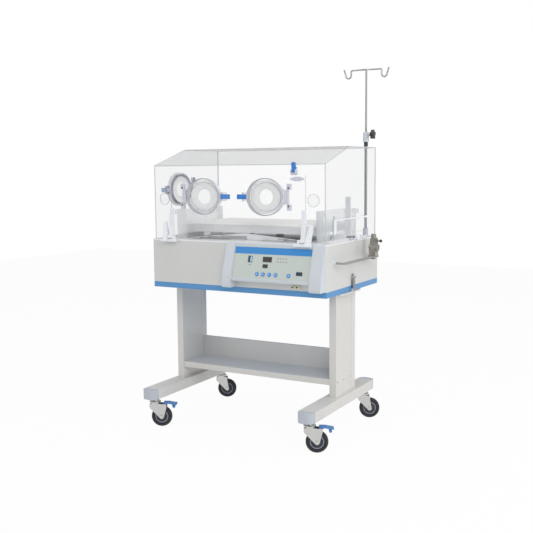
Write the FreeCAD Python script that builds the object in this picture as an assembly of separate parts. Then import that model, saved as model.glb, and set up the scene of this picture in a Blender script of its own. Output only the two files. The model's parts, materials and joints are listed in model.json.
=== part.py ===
import FreeCAD, Part
import math
import os

from FreeCAD import Placement, Rotation, Vector

os.makedirs("parts", exist_ok=True)

# Infant incubator: a clear hood over a heated bed, on a steel cabinet and a wheeled stand.
# All sizes are in millimetres. X runs along the cabinet, Y runs from front to back, Z is up.
# The modelling origin is on the floor under the middle of the cabinet.

# Cabinet and deck
CABINET_LENGTH = 930.0
CABINET_DEPTH = 590.0
CABINET_BASE = 674.0
CABINET_CORNER = 6.0
STRIP_HEIGHT = 26.0
STRIP_WALL = 3.0
SHELL_HEIGHT = 202.0
SHELL_WALL = 2.5
SHELL_FLANGE = 16.0
DECK_THICKNESS = 6.0
VENT_OUTER_MARGIN = 35.0
VENT_WIDTH = 16.0
VENT_PITCH = 42.0
VENT_COUNT = 6
VENT_INNER = 85.0
VENT_FRONT = 245.0
RIB_HEIGHT = 9.0
RIB_WIDTH = 10.0
RIB_HALF_LENGTH = 210.0
SEAT_GAP = 0.3

# Hood
HOOD_INSET = 8.0
HOOD_WALL = 5.0
HOOD_FRONT_HEIGHT = 351.0
HOOD_ROOF_HEIGHT = 432.0
HOOD_SLOPE_BACK = 261.0
HOOD_CORNER = 6.0
HOOD_EDGE = 4.0

# Front access door and its hinges
DOOR_SIDE_STRIP = 97.0
DOOR_TOP = 301.0
DOOR_BOTTOM = 6.0
DOOR_GAP = 1.5
DOOR_PIVOT_OUT = 17.0
DOOR_PIVOT_UP = 12.0
HINGE_PIN_RADIUS = 4.0
HINGE_FIT = 0.06
ARM_WIDTH = 26.0
ARM_HEIGHT = 142.0
ARM_INSET = 18.0
ARM_THICKNESS = 9.0
ARM_KNUCKLE = 8.5
BRACKET_LEG_HEIGHT = 82.0
BRACKET_LEG_WIDTH = 18.0
BRACKET_FOOT_WIDTH = 82.0
BRACKET_FOOT_INSET = 24.0
BRACKET_LEG_LEAN = 14.0
BRACKET_FOOT_DEPTH = 38.0
BRACKET_FOOT_HEIGHT = 13.0
BRACKET_LEDGE = 11.5
BRACKET_EAR = 10.0

# Oval hand ports, two in the front door and one in the left wall
PORT_SPACING = 330.0
PORT_HEIGHT = 206.0
PORT_HALF_WIDTH = 94.0
PORT_HALF_HEIGHT = 84.0
PORT_CAP_DEPTH = 20.0
PORT_CAP_WALL = 3.0
PORT_FRAME_GAP = 5.0
PORT_FRAME_WIDTH = 9.0
PORT_FRAME_DEPTH = 12.0
CUFF_HOLE = 33.0
CUFF_DEPTH = 9.0
PORT_HINGE_OFFSET = 20.0
PORT_HINGE_OUT = 10.0
PORT_HINGE_PIN = 2.5
PORT_HINGE_SPAN = 118.0
PORT_HINGE_BLOCK = 26.0
PORT_HINGE_WIDTH = 18.0
LATCH_LENGTH = 52.0
LATCH_HEIGHT = 22.0
LATCH_BRACKET = 20.0
SIDE_PORT_Y = -60.0
SIDE_PORT_HEIGHT = 232.0

# Latch over the front door and the tube grommets beside it
TOP_LATCH_INSET = 53.0
FINGER_CATCH_SHIFT = 14.0
TOP_LATCH_PIVOT = 322.0
TOP_LATCH_WIDTH = 30.0
TOP_LATCH_LEVER = 38.0
TOP_LATCH_TOE = 7.5
GROMMET_INSET = 60.0
GROMMET_HEIGHT = 192.0
GROMMET_RADIUS = 31.0
GROMMET_NECK = 26.0

# Hatch in the right wall
HATCH_FRONT = -206.0
HATCH_BACK = 157.0
HATCH_BOTTOM = 36.0
HATCH_TOP = 109.0
HATCH_GAP = 1.5
HATCH_HINGE_OUT = 5.0

# Bed, guards and tilt drive
TRAY_END_GAP = 12.0
TRAY_DEPTH = 390.0
TRAY_BASE = 34.0
TRAY_HEIGHT = 32.0
TRAY_WALL = 3.0
MATTRESS_THICKNESS = 42.0
MATTRESS_GAP = 1.0
TILT_AXIS_UP = 18.0
TILT_POST_Y = 150.0
TILT_PIN_RADIUS = 6.0
GUARD_INSET = 107.0
GUARD_RETURN = 46.0
GUARD_DEPTH = 374.0
GUARD_HEIGHT = 140.0
GUARD_WALL = 3.0
GUARD_CORNER = 34.0
PROBE_HEIGHT = 196.0
PROBE_WIDTH = 25.0
PROBE_INSET = 50.0
TILT_KNOB_Y = 12.0
TILT_KNOB_UP = 14.0
TILT_SHAFT_RADIUS = 4.0
TILT_KNOB_RADIUS = 13.0

# Control unit on the front of the cabinet
UNIT_INSET = 3.0
UNIT_WIDTH = 500.0
UNIT_CHEEK = 45.0
UNIT_RIGHT_CHEEK = 57.0
UNIT_TOP_OUT = 8.0
UNIT_BOTTOM_OUT = 60.0
UNIT_BOTTOM = 29.0
UNIT_WALL = 3.0
FACE_BOTTOM_OUT = 46.0
FACE_TOP_OUT = 6.0
FACE_BOTTOM = 76.0
FACE_TOP = 217.0
FACE_LIP = 16.0
PANEL_MARGIN = 2.0
PANEL_THICKNESS = 2.0
BUTTON_RADIUS = 9.0
BUTTON_FIT = 0.4
BUTTON_PROUD = 3.0
BUTTON_COLUMNS = (132.0, 163.0, 195.0, 227.0, 292.0)
BUTTON_ROW = 21.0
ROCKER_LENGTH = 28.0
ROCKER_WIDTH = 15.0
ROCKER_COLUMN = 343.0
ROCKER_ROW = 32.0
ROCKER_PIVOT_DEPTH = 3.2
LAMP_RADIUS = 2.5
LAMP_PITCH = 14.0
LAMP_COLUMN = 230.0
LAMP_ROWS = (81.0, 95.5)
WINDOW_PROUD = 1.0
MAIN_DISPLAY = (153.0, 199.0, 77.0, 101.0)
SMALL_DISPLAY = (156.0, 182.0, 50.0, 67.0)
LEVEL_WINDOW = (77.0, 99.0, 73.0, 103.0)
SOCKET_INSET = (78.0, 101.0)
SOCKET_RADIUS = 7.0

# Rail on the right side and the clamp that rides on it
RAIL_FRONT = -214.0
RAIL_BACK = 158.0
RAIL_LEVEL = 822.0
RAIL_OUT = 50.0
RAIL_HEIGHT = 12.0
RAIL_THICKNESS = 8.0
RAIL_ROD = 5.0
RAIL_BOSS = 13.0
CLAMP_Y = 118.0
CLAMP_LENGTH = 40.0
CLAMP_FIT = 0.35
CLAMP_BORE = 8.0
CLAMP_BORE_DEPTH = 60.0
CLAMP_TOP = 930.0
CLAMP_COLLAR = 24.0
CLAMP_LEVER = 92.0
CLAMP_FOOT = 5.0
CLAMP_SCREW_DOWN = 32.0

# Draw latches that tie the cabinet to the stand
DRAW_LATCH_Y = -20.0
DRAW_LATCH_WIDTH = 22.0
DRAW_LATCH_HEIGHT = 60.0

# Infusion pole
POLE_INSET = 75.0
POLE_OUT = 25.0
POLE_ROD_RADIUS = 4.75
POLE_TUBE_RADIUS = 6.75
POLE_FIT = 0.08
POLE_BOTTOM = 735.0
POLE_JOINT = 1366.0
POLE_COLLAR_HEIGHT = 49.0
POLE_COLLAR_RADIUS = 14.5
POLE_TOP = 1717.0
POLE_ROD_BOTTOM = 1000.0
POLE_SOCKET_RADIUS = 13.0
POLE_KNOB_RADIUS = 22.0
HOOK_BAR_RADIUS = 4.0
HOOK_SPREAD = 80.0
HOOK_DROP = 24.0
HOOK_BEND = 14.0

# Stand
COLUMN_INSET = 25.0
COLUMN_WIDTH = 34.0
COLUMN_FRONT = -141.0
COLUMN_BACK = 75.0
COLUMN_WALL = 3.0
COLUMN_GROOVE = 44.0
TOP_PLATE = 6.0
TOP_PLATE_REACH = 12.0
FOOT_WIDTH = 78.0
FOOT_HEIGHT = 47.0
FOOT_WALL = 3.0
FOOT_FRONT = -430.0
FOOT_BACK = 290.0
FOOT_CAP = 36.0
FOOT_CAP_CORNER = 30.0
CASTER_INSET = 60.0
SHELF_LEVEL = 274.0
SHELF_SHEET = 2.0
SHELF_BACK = 50.0
SHELF_LIP = 28.0
SHELF_UPSTAND = 101.0

# Casters
WHEEL_RADIUS = 50.0
WHEEL_WIDTH = 28.0
TYRE_DEPTH = 15.0
AXLE_RADIUS = 5.0
AXLE_FIT = 0.06
CASTER_TRAIL = 32.0
CASTER_HEADING = 27.0
CASTER_HEIGHT = 126.0
CASTER_HEAD_RADIUS = 28.0
STEM_RADIUS = 6.0
FORK_GAP = 2.5
FORK_PLATE = 2.5
PEDAL_REACH = 74.0
PEDAL_WIDTH = 42.0
PEDAL_PIVOT = (50.0, 106.0)

# Blower under the deck and the filter behind
BLOWER_WHEEL_RADIUS = 74.0
BLOWER_WHEEL_HEIGHT = 24.0
BLOWER_SHAFT_RADIUS = 4.0
BLOWER_Y = 60.0
BLOWER_PLATE = 4.0
INTAKE_RING = 26.0
INTAKE_RADIUS = 9.0
MOTOR_RADIUS = 42.0
MOTOR_HEIGHT = 68.0
HEATER_RADIUS = 120.0
HEATER_TUBE = 4.5
FILTER_X = -190.0
FILTER_WIDTH = 180.0
FILTER_HEIGHT = 120.0
FILTER_DEPTH = 18.0
INLET_X = 210.0

# Levels and faces worked out from the sizes above
HALF_LENGTH = CABINET_LENGTH / 2
HALF_DEPTH = CABINET_DEPTH / 2
SHELL_BASE = CABINET_BASE + STRIP_HEIGHT
DECK_BASE = SHELL_BASE + SHELL_HEIGHT
DECK_TOP = DECK_BASE + DECK_THICKNESS
HOOD_X = HALF_LENGTH - HOOD_INSET
HOOD_Y = HALF_DEPTH - HOOD_INSET
HOOD_BASE = DECK_TOP + SEAT_GAP
DOOR_HALF_WIDTH = HOOD_X - DOOR_SIDE_STRIP
TOP_LATCH_X = DOOR_HALF_WIDTH - TOP_LATCH_INSET
GROMMET_X = HOOD_X - GROMMET_INSET
GUARD_X = HOOD_X - GUARD_INSET
TRAY_LENGTH = 2 * (GUARD_X - TRAY_END_GAP)
VENT_LENGTH = GUARD_X + VENT_OUTER_MARGIN - VENT_INNER
PROBE_Y = GUARD_DEPTH / 2 - PROBE_INSET
COLUMN_OUTER = HALF_LENGTH - COLUMN_INSET
FOOT_TOP = CASTER_HEIGHT + 17.0 + FOOT_HEIGHT
FOOT_BASE = FOOT_TOP - FOOT_HEIGHT
COLUMN_X = COLUMN_OUTER - COLUMN_WIDTH / 2
FOOT_X = COLUMN_X - 5.0
DOOR_PIVOT = (-HOOD_Y - DOOR_PIVOT_OUT, DECK_TOP + DOOR_PIVOT_UP)
PORT_Z = DECK_TOP + PORT_HEIGHT
SIDE_PORT_Z = DECK_TOP + SIDE_PORT_HEIGHT
TILT_Z = DECK_TOP + TILT_AXIS_UP
TRAY_Z = DECK_TOP + TRAY_BASE
TILT_KNOB_Z = DECK_TOP + TILT_KNOB_UP
HATCH_AXIS = (HOOD_X + HATCH_HINGE_OUT, HATCH_FRONT - 2.0)
TOP_LATCH_AXIS = (-HOOD_Y - 10.0, DECK_TOP + TOP_LATCH_PIVOT)
POLE_X = HALF_LENGTH - POLE_INSET
POLE_Y = HALF_DEPTH + POLE_OUT
RAIL_X = HALF_LENGTH + RAIL_OUT
UNIT_RIGHT = HALF_LENGTH - UNIT_INSET
UNIT_LEFT = UNIT_RIGHT - UNIT_WIDTH
FACE_LEFT = UNIT_LEFT + UNIT_CHEEK
FACE_RIGHT = UNIT_RIGHT - UNIT_RIGHT_CHEEK
FACE_WIDTH = FACE_RIGHT - FACE_LEFT
FACE_TILT = math.degrees(math.atan2(FACE_BOTTOM_OUT - FACE_TOP_OUT, FACE_TOP - FACE_BOTTOM))
FACE_LENGTH = math.hypot(FACE_BOTTOM_OUT - FACE_TOP_OUT, FACE_TOP - FACE_BOTTOM)
BLOWER_WHEEL_TOP = DECK_BASE - 6.0
DRAW_LATCH_AXIS = (HALF_LENGTH + 8.0, CABINET_BASE + 9.0)
CASTER_Y = (FOOT_FRONT + CASTER_INSET, FOOT_BACK - CASTER_INSET)
CASTERS = {
    "front_left": (-FOOT_X, CASTER_Y[0], True),
    "front_right": (FOOT_X, CASTER_Y[0], True),
    "rear_left": (-FOOT_X, CASTER_Y[1], False),
    "rear_right": (FOOT_X, CASTER_Y[1], False),
}

X_AXIS = Vector(1, 0, 0)
Y_AXIS = Vector(0, 1, 0)
Z_AXIS = Vector(0, 0, 1)


# Helpers for plain solids

def block(x0, x1, y0, y1, z0, z1):
    return Part.makeBox(x1 - x0, y1 - y0, z1 - z0, Vector(x0, y0, z0))


def rod(start, axis, radius, length):
    return Part.makeCylinder(radius, length, Vector(*start), axis)


def fused(shapes):
    return shapes[0].multiFuse(shapes[1:]).removeSplitter()


def group(shapes):
    return Part.makeCompound(shapes)


def turned(shape, centre, axis, degrees):
    copy = shape.copy()
    copy.rotate(Vector(*centre), axis, degrees)
    return copy


def moved(shape, x, y, z):
    copy = shape.copy()
    copy.translate(Vector(x, y, z))
    return copy


def mirrored(shape):
    return shape.mirror(Vector(0, 0, 0), X_AXIS)


def round_corner(before, corner, after, radius):
    """Tangent points and the middle point of the arc that rounds a corner."""
    to_before = (before - corner).normalize()
    to_after = (after - corner).normalize()
    half = to_before.getAngle(to_after) / 2
    reach = radius / math.tan(half)
    middle = (to_before + to_after).normalize() * (radius / math.sin(half) - radius)
    return corner + to_before * reach, corner + middle, corner + to_after * reach


def outline(corners, place):
    """Closed wire through corners (a, b) or (a, b, radius), placed in space by place(a, b)."""
    points = [Vector(corner[0], corner[1], 0) for corner in corners]
    radii = [corner[2] if len(corner) == 3 else 0 for corner in corners]
    edges = []
    ends = []
    for index, point in enumerate(points):
        before = points[index - 1]
        after = points[(index + 1) % len(points)]
        if radii[index]:
            ends.append(round_corner(before, point, after, radii[index]))
        else:
            ends.append((point, None, point))
    for index, (enter, middle, leave) in enumerate(ends):
        if middle is not None:
            arc = Part.Arc(place(enter.x, enter.y), place(middle.x, middle.y), place(leave.x, leave.y))
            edges.append(arc.toShape())
        following = ends[(index + 1) % len(ends)][0]
        if leave.distanceToPoint(following) > 1e-6:
            edges.append(Part.makeLine(place(leave.x, leave.y), place(following.x, following.y)))
    return Part.Wire(edges)


def plate_xy(corners, z0, z1):
    return Part.Face(outline(corners, lambda a, b: Vector(a, b, z0))).extrude(Vector(0, 0, z1 - z0))


def plate_xz(corners, y0, y1):
    return Part.Face(outline(corners, lambda a, b: Vector(a, y0, b))).extrude(Vector(0, y1 - y0, 0))


def plate_yz(corners, x0, x1):
    return Part.Face(outline(corners, lambda a, b: Vector(x0, a, b))).extrude(Vector(x1 - x0, 0, 0))


def rectangle(a0, a1, b0, b1, radius=0.0):
    return [(a0, b0, radius), (a1, b0, radius), (a1, b1, radius), (a0, b1, radius)]


def slab(half_x, half_y, radius, z0, z1):
    """Plate centred on the Z axis with rounded upright corners."""
    return plate_xy(rectangle(-half_x, half_x, -half_y, half_y, radius), z0, z1)


def oval(half_width, half_height, y0, y1):
    """Oval disc about the Y axis, from y0 to y1."""
    ellipse = Part.Ellipse(Vector(0, y0, 0), half_width, half_height).toShape()
    ellipse.rotate(Vector(0, y0, 0), X_AXIS, 90)
    return Part.Face(Part.Wire([ellipse])).extrude(Vector(0, y1 - y0, 0))


def revolved(corners, centre, axis):
    """Solid of revolution of a (radius, height) outline about an axis through the centre."""
    face = Part.Face(outline(corners, lambda a, b: Vector(a, 0, b)))
    solid = face.revolve(Vector(0, 0, 0), Z_AXIS, 360)
    solid.Placement = Placement(Vector(*centre), Rotation(Z_AXIS, axis))
    return solid


def pipe(points, radius):
    """Round bar along a wire of straight runs and arcs, given as (start, middle, end) or (start, end)."""
    edges = []
    for span in points:
        if len(span) == 2:
            edges.append(Part.makeLine(span[0], span[1]))
        else:
            edges.append(Part.Arc(*span).toShape())
    path = Part.Wire(edges)
    direction = edges[0].tangentAt(edges[0].FirstParameter)
    section = Part.Wire([Part.makeCircle(radius, edges[0].valueAt(edges[0].FirstParameter), direction)])
    return path.makePipeShell([section], True, False)


def on_face(shape):
    """Moves a piece from the control face's own axes (along, up the slope, outward) into place."""
    copy = shape.copy()
    base = Vector(FACE_LEFT, -HALF_DEPTH - FACE_BOTTOM_OUT, CABINET_BASE + FACE_BOTTOM)
    copy.Placement = Placement(base, Rotation(X_AXIS, 90 - FACE_TILT)).multiply(copy.Placement)
    return copy


# Stand: feet, columns, shelf and steel fittings

def foot_tube(x):
    outer = block(x - FOOT_WIDTH / 2, x + FOOT_WIDTH / 2, FOOT_FRONT + FOOT_CAP, FOOT_BACK - FOOT_CAP,
                  FOOT_BASE, FOOT_TOP)
    inner = block(x - FOOT_WIDTH / 2 + FOOT_WALL, x + FOOT_WIDTH / 2 - FOOT_WALL,
                  FOOT_FRONT, FOOT_BACK, FOOT_BASE + FOOT_WALL, FOOT_TOP - FOOT_WALL)
    tube = outer.cut(inner)
    for y in CASTER_Y:
        tube = tube.cut(rod((x, y, FOOT_BASE - 1), Z_AXIS, STEM_RADIUS, FOOT_WALL + 2))
    return tube


def column(x):
    half = COLUMN_WIDTH / 2
    top = CABINET_BASE - TOP_PLATE
    outer = block(x - half, x + half, COLUMN_FRONT, COLUMN_BACK, FOOT_TOP, top)
    inner = block(x - half + COLUMN_WALL, x + half - COLUMN_WALL, COLUMN_FRONT + COLUMN_WALL,
                  COLUMN_BACK - COLUMN_WALL, FOOT_TOP - 1, top + 1)
    groove_y = COLUMN_BACK - COLUMN_GROOVE
    grooves = [block(x + side * half - 1.2, x + side * half + 1.2, groove_y - 2, groove_y + 2,
                     FOOT_TOP - 1, top + 1) for side in (-1, 1)]
    return outer.cut(group([inner] + grooves))


def stand_frame():
    sides = []
    for side in (-1, 1):
        sides.append(fused([foot_tube(side * FOOT_X), column(side * COLUMN_X)]))
    return group(sides)


def foot_cap(x, end, inward):
    """Rounded end cap of a foot; inward is the Y direction from the cap to the tube."""
    tube_end = end + inward * FOOT_CAP
    half = FOOT_WIDTH / 2
    corners = [(x - half, tube_end), (x - half, end, FOOT_CAP_CORNER),
               (x + half, end, FOOT_CAP_CORNER), (x + half, tube_end)]
    cap = plate_xy(corners, FOOT_BASE, FOOT_TOP)
    inner_half = half - FOOT_WALL - SEAT_GAP
    reach = sorted((tube_end, tube_end + inward * 10.0))
    plug = block(x - inner_half, x + inner_half, reach[0], reach[1],
                 FOOT_BASE + FOOT_WALL + SEAT_GAP, FOOT_TOP - FOOT_WALL - SEAT_GAP)
    return fused([cap, plug])


def foot_end_caps():
    caps = []
    for x in (-FOOT_X, FOOT_X):
        caps.append(foot_cap(x, FOOT_FRONT, 1))
        caps.append(foot_cap(x, FOOT_BACK, -1))
    return group(caps)


def shelf_tray():
    """Folded sheet shelf between the columns, with a front lip and a rear upstand."""
    half = COLUMN_OUTER - COLUMN_WIDTH
    floor = SHELF_LEVEL - SHELF_SHEET
    front = COLUMN_FRONT + 3.0
    top = SHELF_LEVEL + SHELF_UPSTAND
    corners = [
        (front, SHELF_LEVEL, 3.0), (front, SHELF_LEVEL - SHELF_LIP),
        (front + 14.0, SHELF_LEVEL - SHELF_LIP), (front + 14.0, SHELF_LEVEL - SHELF_LIP + SHELF_SHEET),
        (front + SHELF_SHEET, SHELF_LEVEL - SHELF_LIP + SHELF_SHEET), (front + SHELF_SHEET, floor),
        (SHELF_BACK + SHELF_SHEET, floor), (SHELF_BACK + SHELF_SHEET, top - SHELF_SHEET),
        (SHELF_BACK + 12.0, top - SHELF_SHEET), (SHELF_BACK + 12.0, top),
        (SHELF_BACK, top, 2.0), (SHELF_BACK, SHELF_LEVEL, 3.0),
    ]
    return plate_yz(corners, -half, half)


def top_plate():
    """Plate on top of the right column, with the ears that carry the draw latch."""
    inner = COLUMN_OUTER - COLUMN_WIDTH - 20.0
    outer = HALF_LENGTH + TOP_PLATE_REACH
    y0 = COLUMN_FRONT - 8.0
    y1 = COLUMN_BACK + 2.0
    base = CABINET_BASE - TOP_PLATE
    corners = [(inner, y0), (HALF_LENGTH, y0), (outer, y0 + 20.0), (outer, y1 - 20.0),
               (HALF_LENGTH, y1), (inner, y1)]
    plate = plate_xy(corners, base, CABINET_BASE)
    pivot_x, pivot_z = DRAW_LATCH_AXIS
    ears = []
    for side in (-1, 1):
        ear_y = DRAW_LATCH_Y + side * (DRAW_LATCH_WIDTH / 2 + 2.5)
        ear = plate_xz([(pivot_x - 5, CABINET_BASE - 1), (pivot_x + 4, CABINET_BASE - 1),
                        (pivot_x + 4, pivot_z + 4, 3.9), (pivot_x - 5, pivot_z + 4, 3.9)],
                       ear_y - 1.5, ear_y + 1.5)
        ears.append(ear)
    pin = rod((pivot_x, DRAW_LATCH_Y - DRAW_LATCH_WIDTH / 2 - 4, pivot_z), Y_AXIS, 2.0,
              DRAW_LATCH_WIDTH + 8)
    screws = [rod((HALF_LENGTH - 12, y, base - 3), Z_AXIS, 5.0, 4.0) for y in (y0 + 25, y1 - 25)]
    return fused([plate, pin] + ears + screws)


def caster_stem(x, y):
    stem = rod((x, y, CASTER_HEIGHT - 14), Z_AXIS, STEM_RADIUS, FOOT_BASE + FOOT_WALL + 8 - CASTER_HEIGHT + 14)
    nut_corners = [(x + 10 * math.cos(math.radians(60 * k)), y + 10 * math.sin(math.radians(60 * k)))
                   for k in range(6)]
    lower_nut = plate_xy(nut_corners, CASTER_HEIGHT + SEAT_GAP, FOOT_BASE)
    inner_nut = plate_xy(nut_corners, FOOT_BASE + FOOT_WALL, FOOT_BASE + FOOT_WALL + 7)
    return fused([stem, lower_nut, inner_nut])


def stand_hardware():
    stems = [caster_stem(x, y) for x, y, braked in CASTERS.values()]
    right = top_plate()
    return group([right, mirrored(right)] + stems)


# Casters, built with the trail along +X about the stem axis and then turned to their heading

def caster_place(shape, x, y):
    return moved(turned(shape, (0, 0, 0), Z_AXIS, CASTER_HEADING), x, y, 0)


def fork(braked):
    inner = WHEEL_WIDTH / 2 + FORK_GAP
    axle = (CASTER_TRAIL, WHEEL_RADIUS)
    head = revolved([(0, CASTER_HEIGHT - 14), (CASTER_HEAD_RADIUS - 4, CASTER_HEIGHT - 14),
                     (CASTER_HEAD_RADIUS - 2, CASTER_HEIGHT - 8), (CASTER_HEAD_RADIUS, CASTER_HEIGHT - 6),
                     (CASTER_HEAD_RADIUS, CASTER_HEIGHT - 2), (CASTER_HEAD_RADIUS - 2, CASTER_HEIGHT),
                     (0, CASTER_HEIGHT)],
                    (0, 0, 0), Z_AXIS)
    crown = block(-CASTER_HEAD_RADIUS + 3, CASTER_HEAD_RADIUS - 3, -inner - FORK_PLATE, inner + FORK_PLATE,
                  CASTER_HEIGHT - 17, CASTER_HEIGHT - 13)
    nose = PEDAL_PIVOT[0] + 6 if braked else CASTER_HEAD_RADIUS + 6
    top = CASTER_HEIGHT - 14
    side = [(-CASTER_HEAD_RADIUS + 3, top), (-CASTER_HEAD_RADIUS + 1, top - 16, 10.0),
            (axle[0] - 11, axle[1] - 4, 6.0), (axle[0], axle[1] - 15, 9.0), (axle[0] + 11, axle[1] - 4, 6.0),
            (nose, top - 18, 5.0), (nose, top, 3.0)]
    plates = [plate_xz(side, -inner - FORK_PLATE, -inner), plate_xz(side, inner, inner + FORK_PLATE)]
    bolt = rod((axle[0], -inner - FORK_PLATE - 5, axle[1]), Y_AXIS, AXLE_RADIUS, 2 * (inner + FORK_PLATE + 5))
    nuts = [rod((axle[0], y, axle[1]), Y_AXIS, 8.0, 4.5)
            for y in (-inner - FORK_PLATE - 4.5, inner + FORK_PLATE)]
    pieces = [head, crown, bolt] + plates + nuts
    if braked:
        pieces.append(rod((PEDAL_PIVOT[0], -inner - FORK_PLATE, PEDAL_PIVOT[1]), Y_AXIS, 2.5,
                          2 * (inner + FORK_PLATE)))
    solid = fused(pieces)
    bore = rod((0, 0, CASTER_HEIGHT - 20), Z_AXIS, STEM_RADIUS + AXLE_FIT, 30)
    return solid.cut(bore)


def wheel():
    """Tyre and core of one wheel about the Y axis at the axle's height."""
    half = WHEEL_WIDTH / 2
    rim = WHEEL_RADIUS - TYRE_DEPTH
    bore = AXLE_RADIUS + AXLE_FIT
    centre = (CASTER_TRAIL, 0, WHEEL_RADIUS)
    shoulder = [(rim, half - 2), (rim + 2, half), (WHEEL_RADIUS - 9, half), (WHEEL_RADIUS - 4, half - 2),
                (WHEEL_RADIUS - 1, half - 5), (WHEEL_RADIUS, half - 9)]
    tyre = revolved(shoulder + [(radius, -height) for radius, height in reversed(shoulder)], centre, Y_AXIS)
    core = revolved([(bore, -half), (bore + 8, -half), (bore + 10, -half + 4), (rim - 8, -half + 7),
                     (rim - 5, -half + 1.5), (rim, -half + 1.5), (rim, half - 1.5), (rim - 5, half - 1.5),
                     (rim - 8, half - 7), (bore + 10, half - 4), (bore + 8, half), (bore, half)],
                    centre, Y_AXIS)
    return group([tyre, core])


def pedal():
    """Brake pedal of a front caster: hub between the fork plates and a tread that reaches out."""
    x, z = PEDAL_PIVOT
    half = WHEEL_WIDTH / 2
    tread_z = CASTER_HEIGHT - 11
    end = CASTER_TRAIL + PEDAL_REACH
    hub = rod((x, -half, z), Y_AXIS, 6.0, 2 * half)
    web = plate_xz([(x - 5, z), (x + 6, z - 1), (x + 14, tread_z + 1), (x - 5, tread_z + 1)], -half, half)
    tread = plate_xz([(x - 9, tread_z), (x + 14, tread_z), (end, tread_z - 7), (end, tread_z - 3, 1.5),
                      (x + 16, tread_z + 4), (x - 9, tread_z + 4, 1.5)], -PEDAL_WIDTH / 2, PEDAL_WIDTH / 2)
    toe = plate_xz([(end - 24, tread_z - 5), (end - 10, tread_z - 5), (end - 8, tread_z - 22, 3.0),
                    (end - 20, tread_z - 24, 3.0)], -10, 10)
    solid = fused([hub, web, tread, toe])
    return solid.cut(rod((x, -half - 1, z), Y_AXIS, 2.5 + AXLE_FIT, 2 * half + 2))


# Cabinet, base strip and deck

def base_strip():
    tray = slab(HALF_LENGTH, HALF_DEPTH, CABINET_CORNER, CABINET_BASE, SHELL_BASE)
    hollow = slab(HALF_LENGTH - STRIP_WALL, HALF_DEPTH - STRIP_WALL, CABINET_CORNER - STRIP_WALL,
                  CABINET_BASE + STRIP_WALL, SHELL_BASE + 1)
    return tray.cut(hollow)


def filter_window():
    half = FILTER_WIDTH / 2 - 14
    level = (SHELL_BASE + DECK_BASE) / 2
    return block(FILTER_X - half, FILTER_X + half, HALF_DEPTH - SHELL_WALL - 1, HALF_DEPTH + 1,
                 level - FILTER_HEIGHT / 2 + 14, level + FILTER_HEIGHT / 2 - 14)


def latch_catch():
    """Small hook on the right cabinet side that the draw latch's loop pulls on."""
    top = DRAW_LATCH_AXIS[1] + DRAW_LATCH_HEIGHT + 8
    x = HALF_LENGTH - 0.5
    return plate_xz([(x, top - 8), (x + 7, top - 8), (x + 10, top + 4, 2.0), (x + 6, top + 4),
                     (x + 4, top - 2), (x, top - 2)], DRAW_LATCH_Y - 6, DRAW_LATCH_Y + 6)


def cabinet_shell():
    outer = slab(HALF_LENGTH, HALF_DEPTH, CABINET_CORNER, SHELL_BASE, DECK_BASE)
    inner = slab(HALF_LENGTH - SHELL_WALL, HALF_DEPTH - SHELL_WALL, CABINET_CORNER - SHELL_WALL,
                 SHELL_BASE - 1, DECK_BASE - SHELL_WALL)
    mouth = slab(HALF_LENGTH - SHELL_FLANGE, HALF_DEPTH - SHELL_FLANGE, CABINET_CORNER / 2,
                 DECK_BASE - SHELL_WALL - 1, DECK_BASE + 1)
    bosses = [revolved([(0, -1), (RAIL_BOSS, -1), (RAIL_BOSS, 2), (RAIL_BOSS - 4, 8, 4.0), (0, 8)],
                       (HALF_LENGTH, y, RAIL_LEVEL), X_AXIS) for y in (RAIL_FRONT, RAIL_BACK)]
    inlet = block(INLET_X - 26, INLET_X + 26, HALF_DEPTH - 1, HALF_DEPTH + 3, SHELL_BASE + 22, SHELL_BASE + 82)
    inlet_well = block(INLET_X - 14, INLET_X + 14, HALF_DEPTH - 16, HALF_DEPTH - 1,
                       SHELL_BASE + 46, SHELL_BASE + 70)
    well_mouth = block(INLET_X - 12, INLET_X + 12, HALF_DEPTH - 14, HALF_DEPTH + 4,
                       SHELL_BASE + 48, SHELL_BASE + 68)
    catch = latch_catch()
    shell = outer.cut(group([inner, mouth, filter_window()]))
    shell = fused([shell, inlet, inlet_well, catch, mirrored(catch)] + bosses).cut(well_mouth)
    sockets = [rod((HALF_LENGTH - SHELL_WALL - 1, y, RAIL_LEVEL), X_AXIS, RAIL_ROD, 20)
               for y in (RAIL_FRONT, RAIL_BACK)]
    return shell.cut(group(sockets))


def vent_slots(side):
    slots = []
    x0, x1 = sorted((side * VENT_INNER, side * (VENT_INNER + VENT_LENGTH)))
    for row in range(VENT_COUNT):
        y = -VENT_FRONT + row * VENT_PITCH
        slots.append(plate_xy(rectangle(x0, x1, y, y + VENT_WIDTH, VENT_WIDTH / 2 - 0.5),
                              DECK_BASE - 1, DECK_TOP + 1))
    return slots


def tilt_post(y):
    """Post on the deck with the bore for one trunnion of the mattress tray."""
    post = plate_xz([(-22, DECK_TOP - 1), (22, DECK_TOP - 1), (10, TILT_Z + 9, 6.0), (-10, TILT_Z + 9, 6.0)],
                    y - 6, y + 6)
    return post


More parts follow.
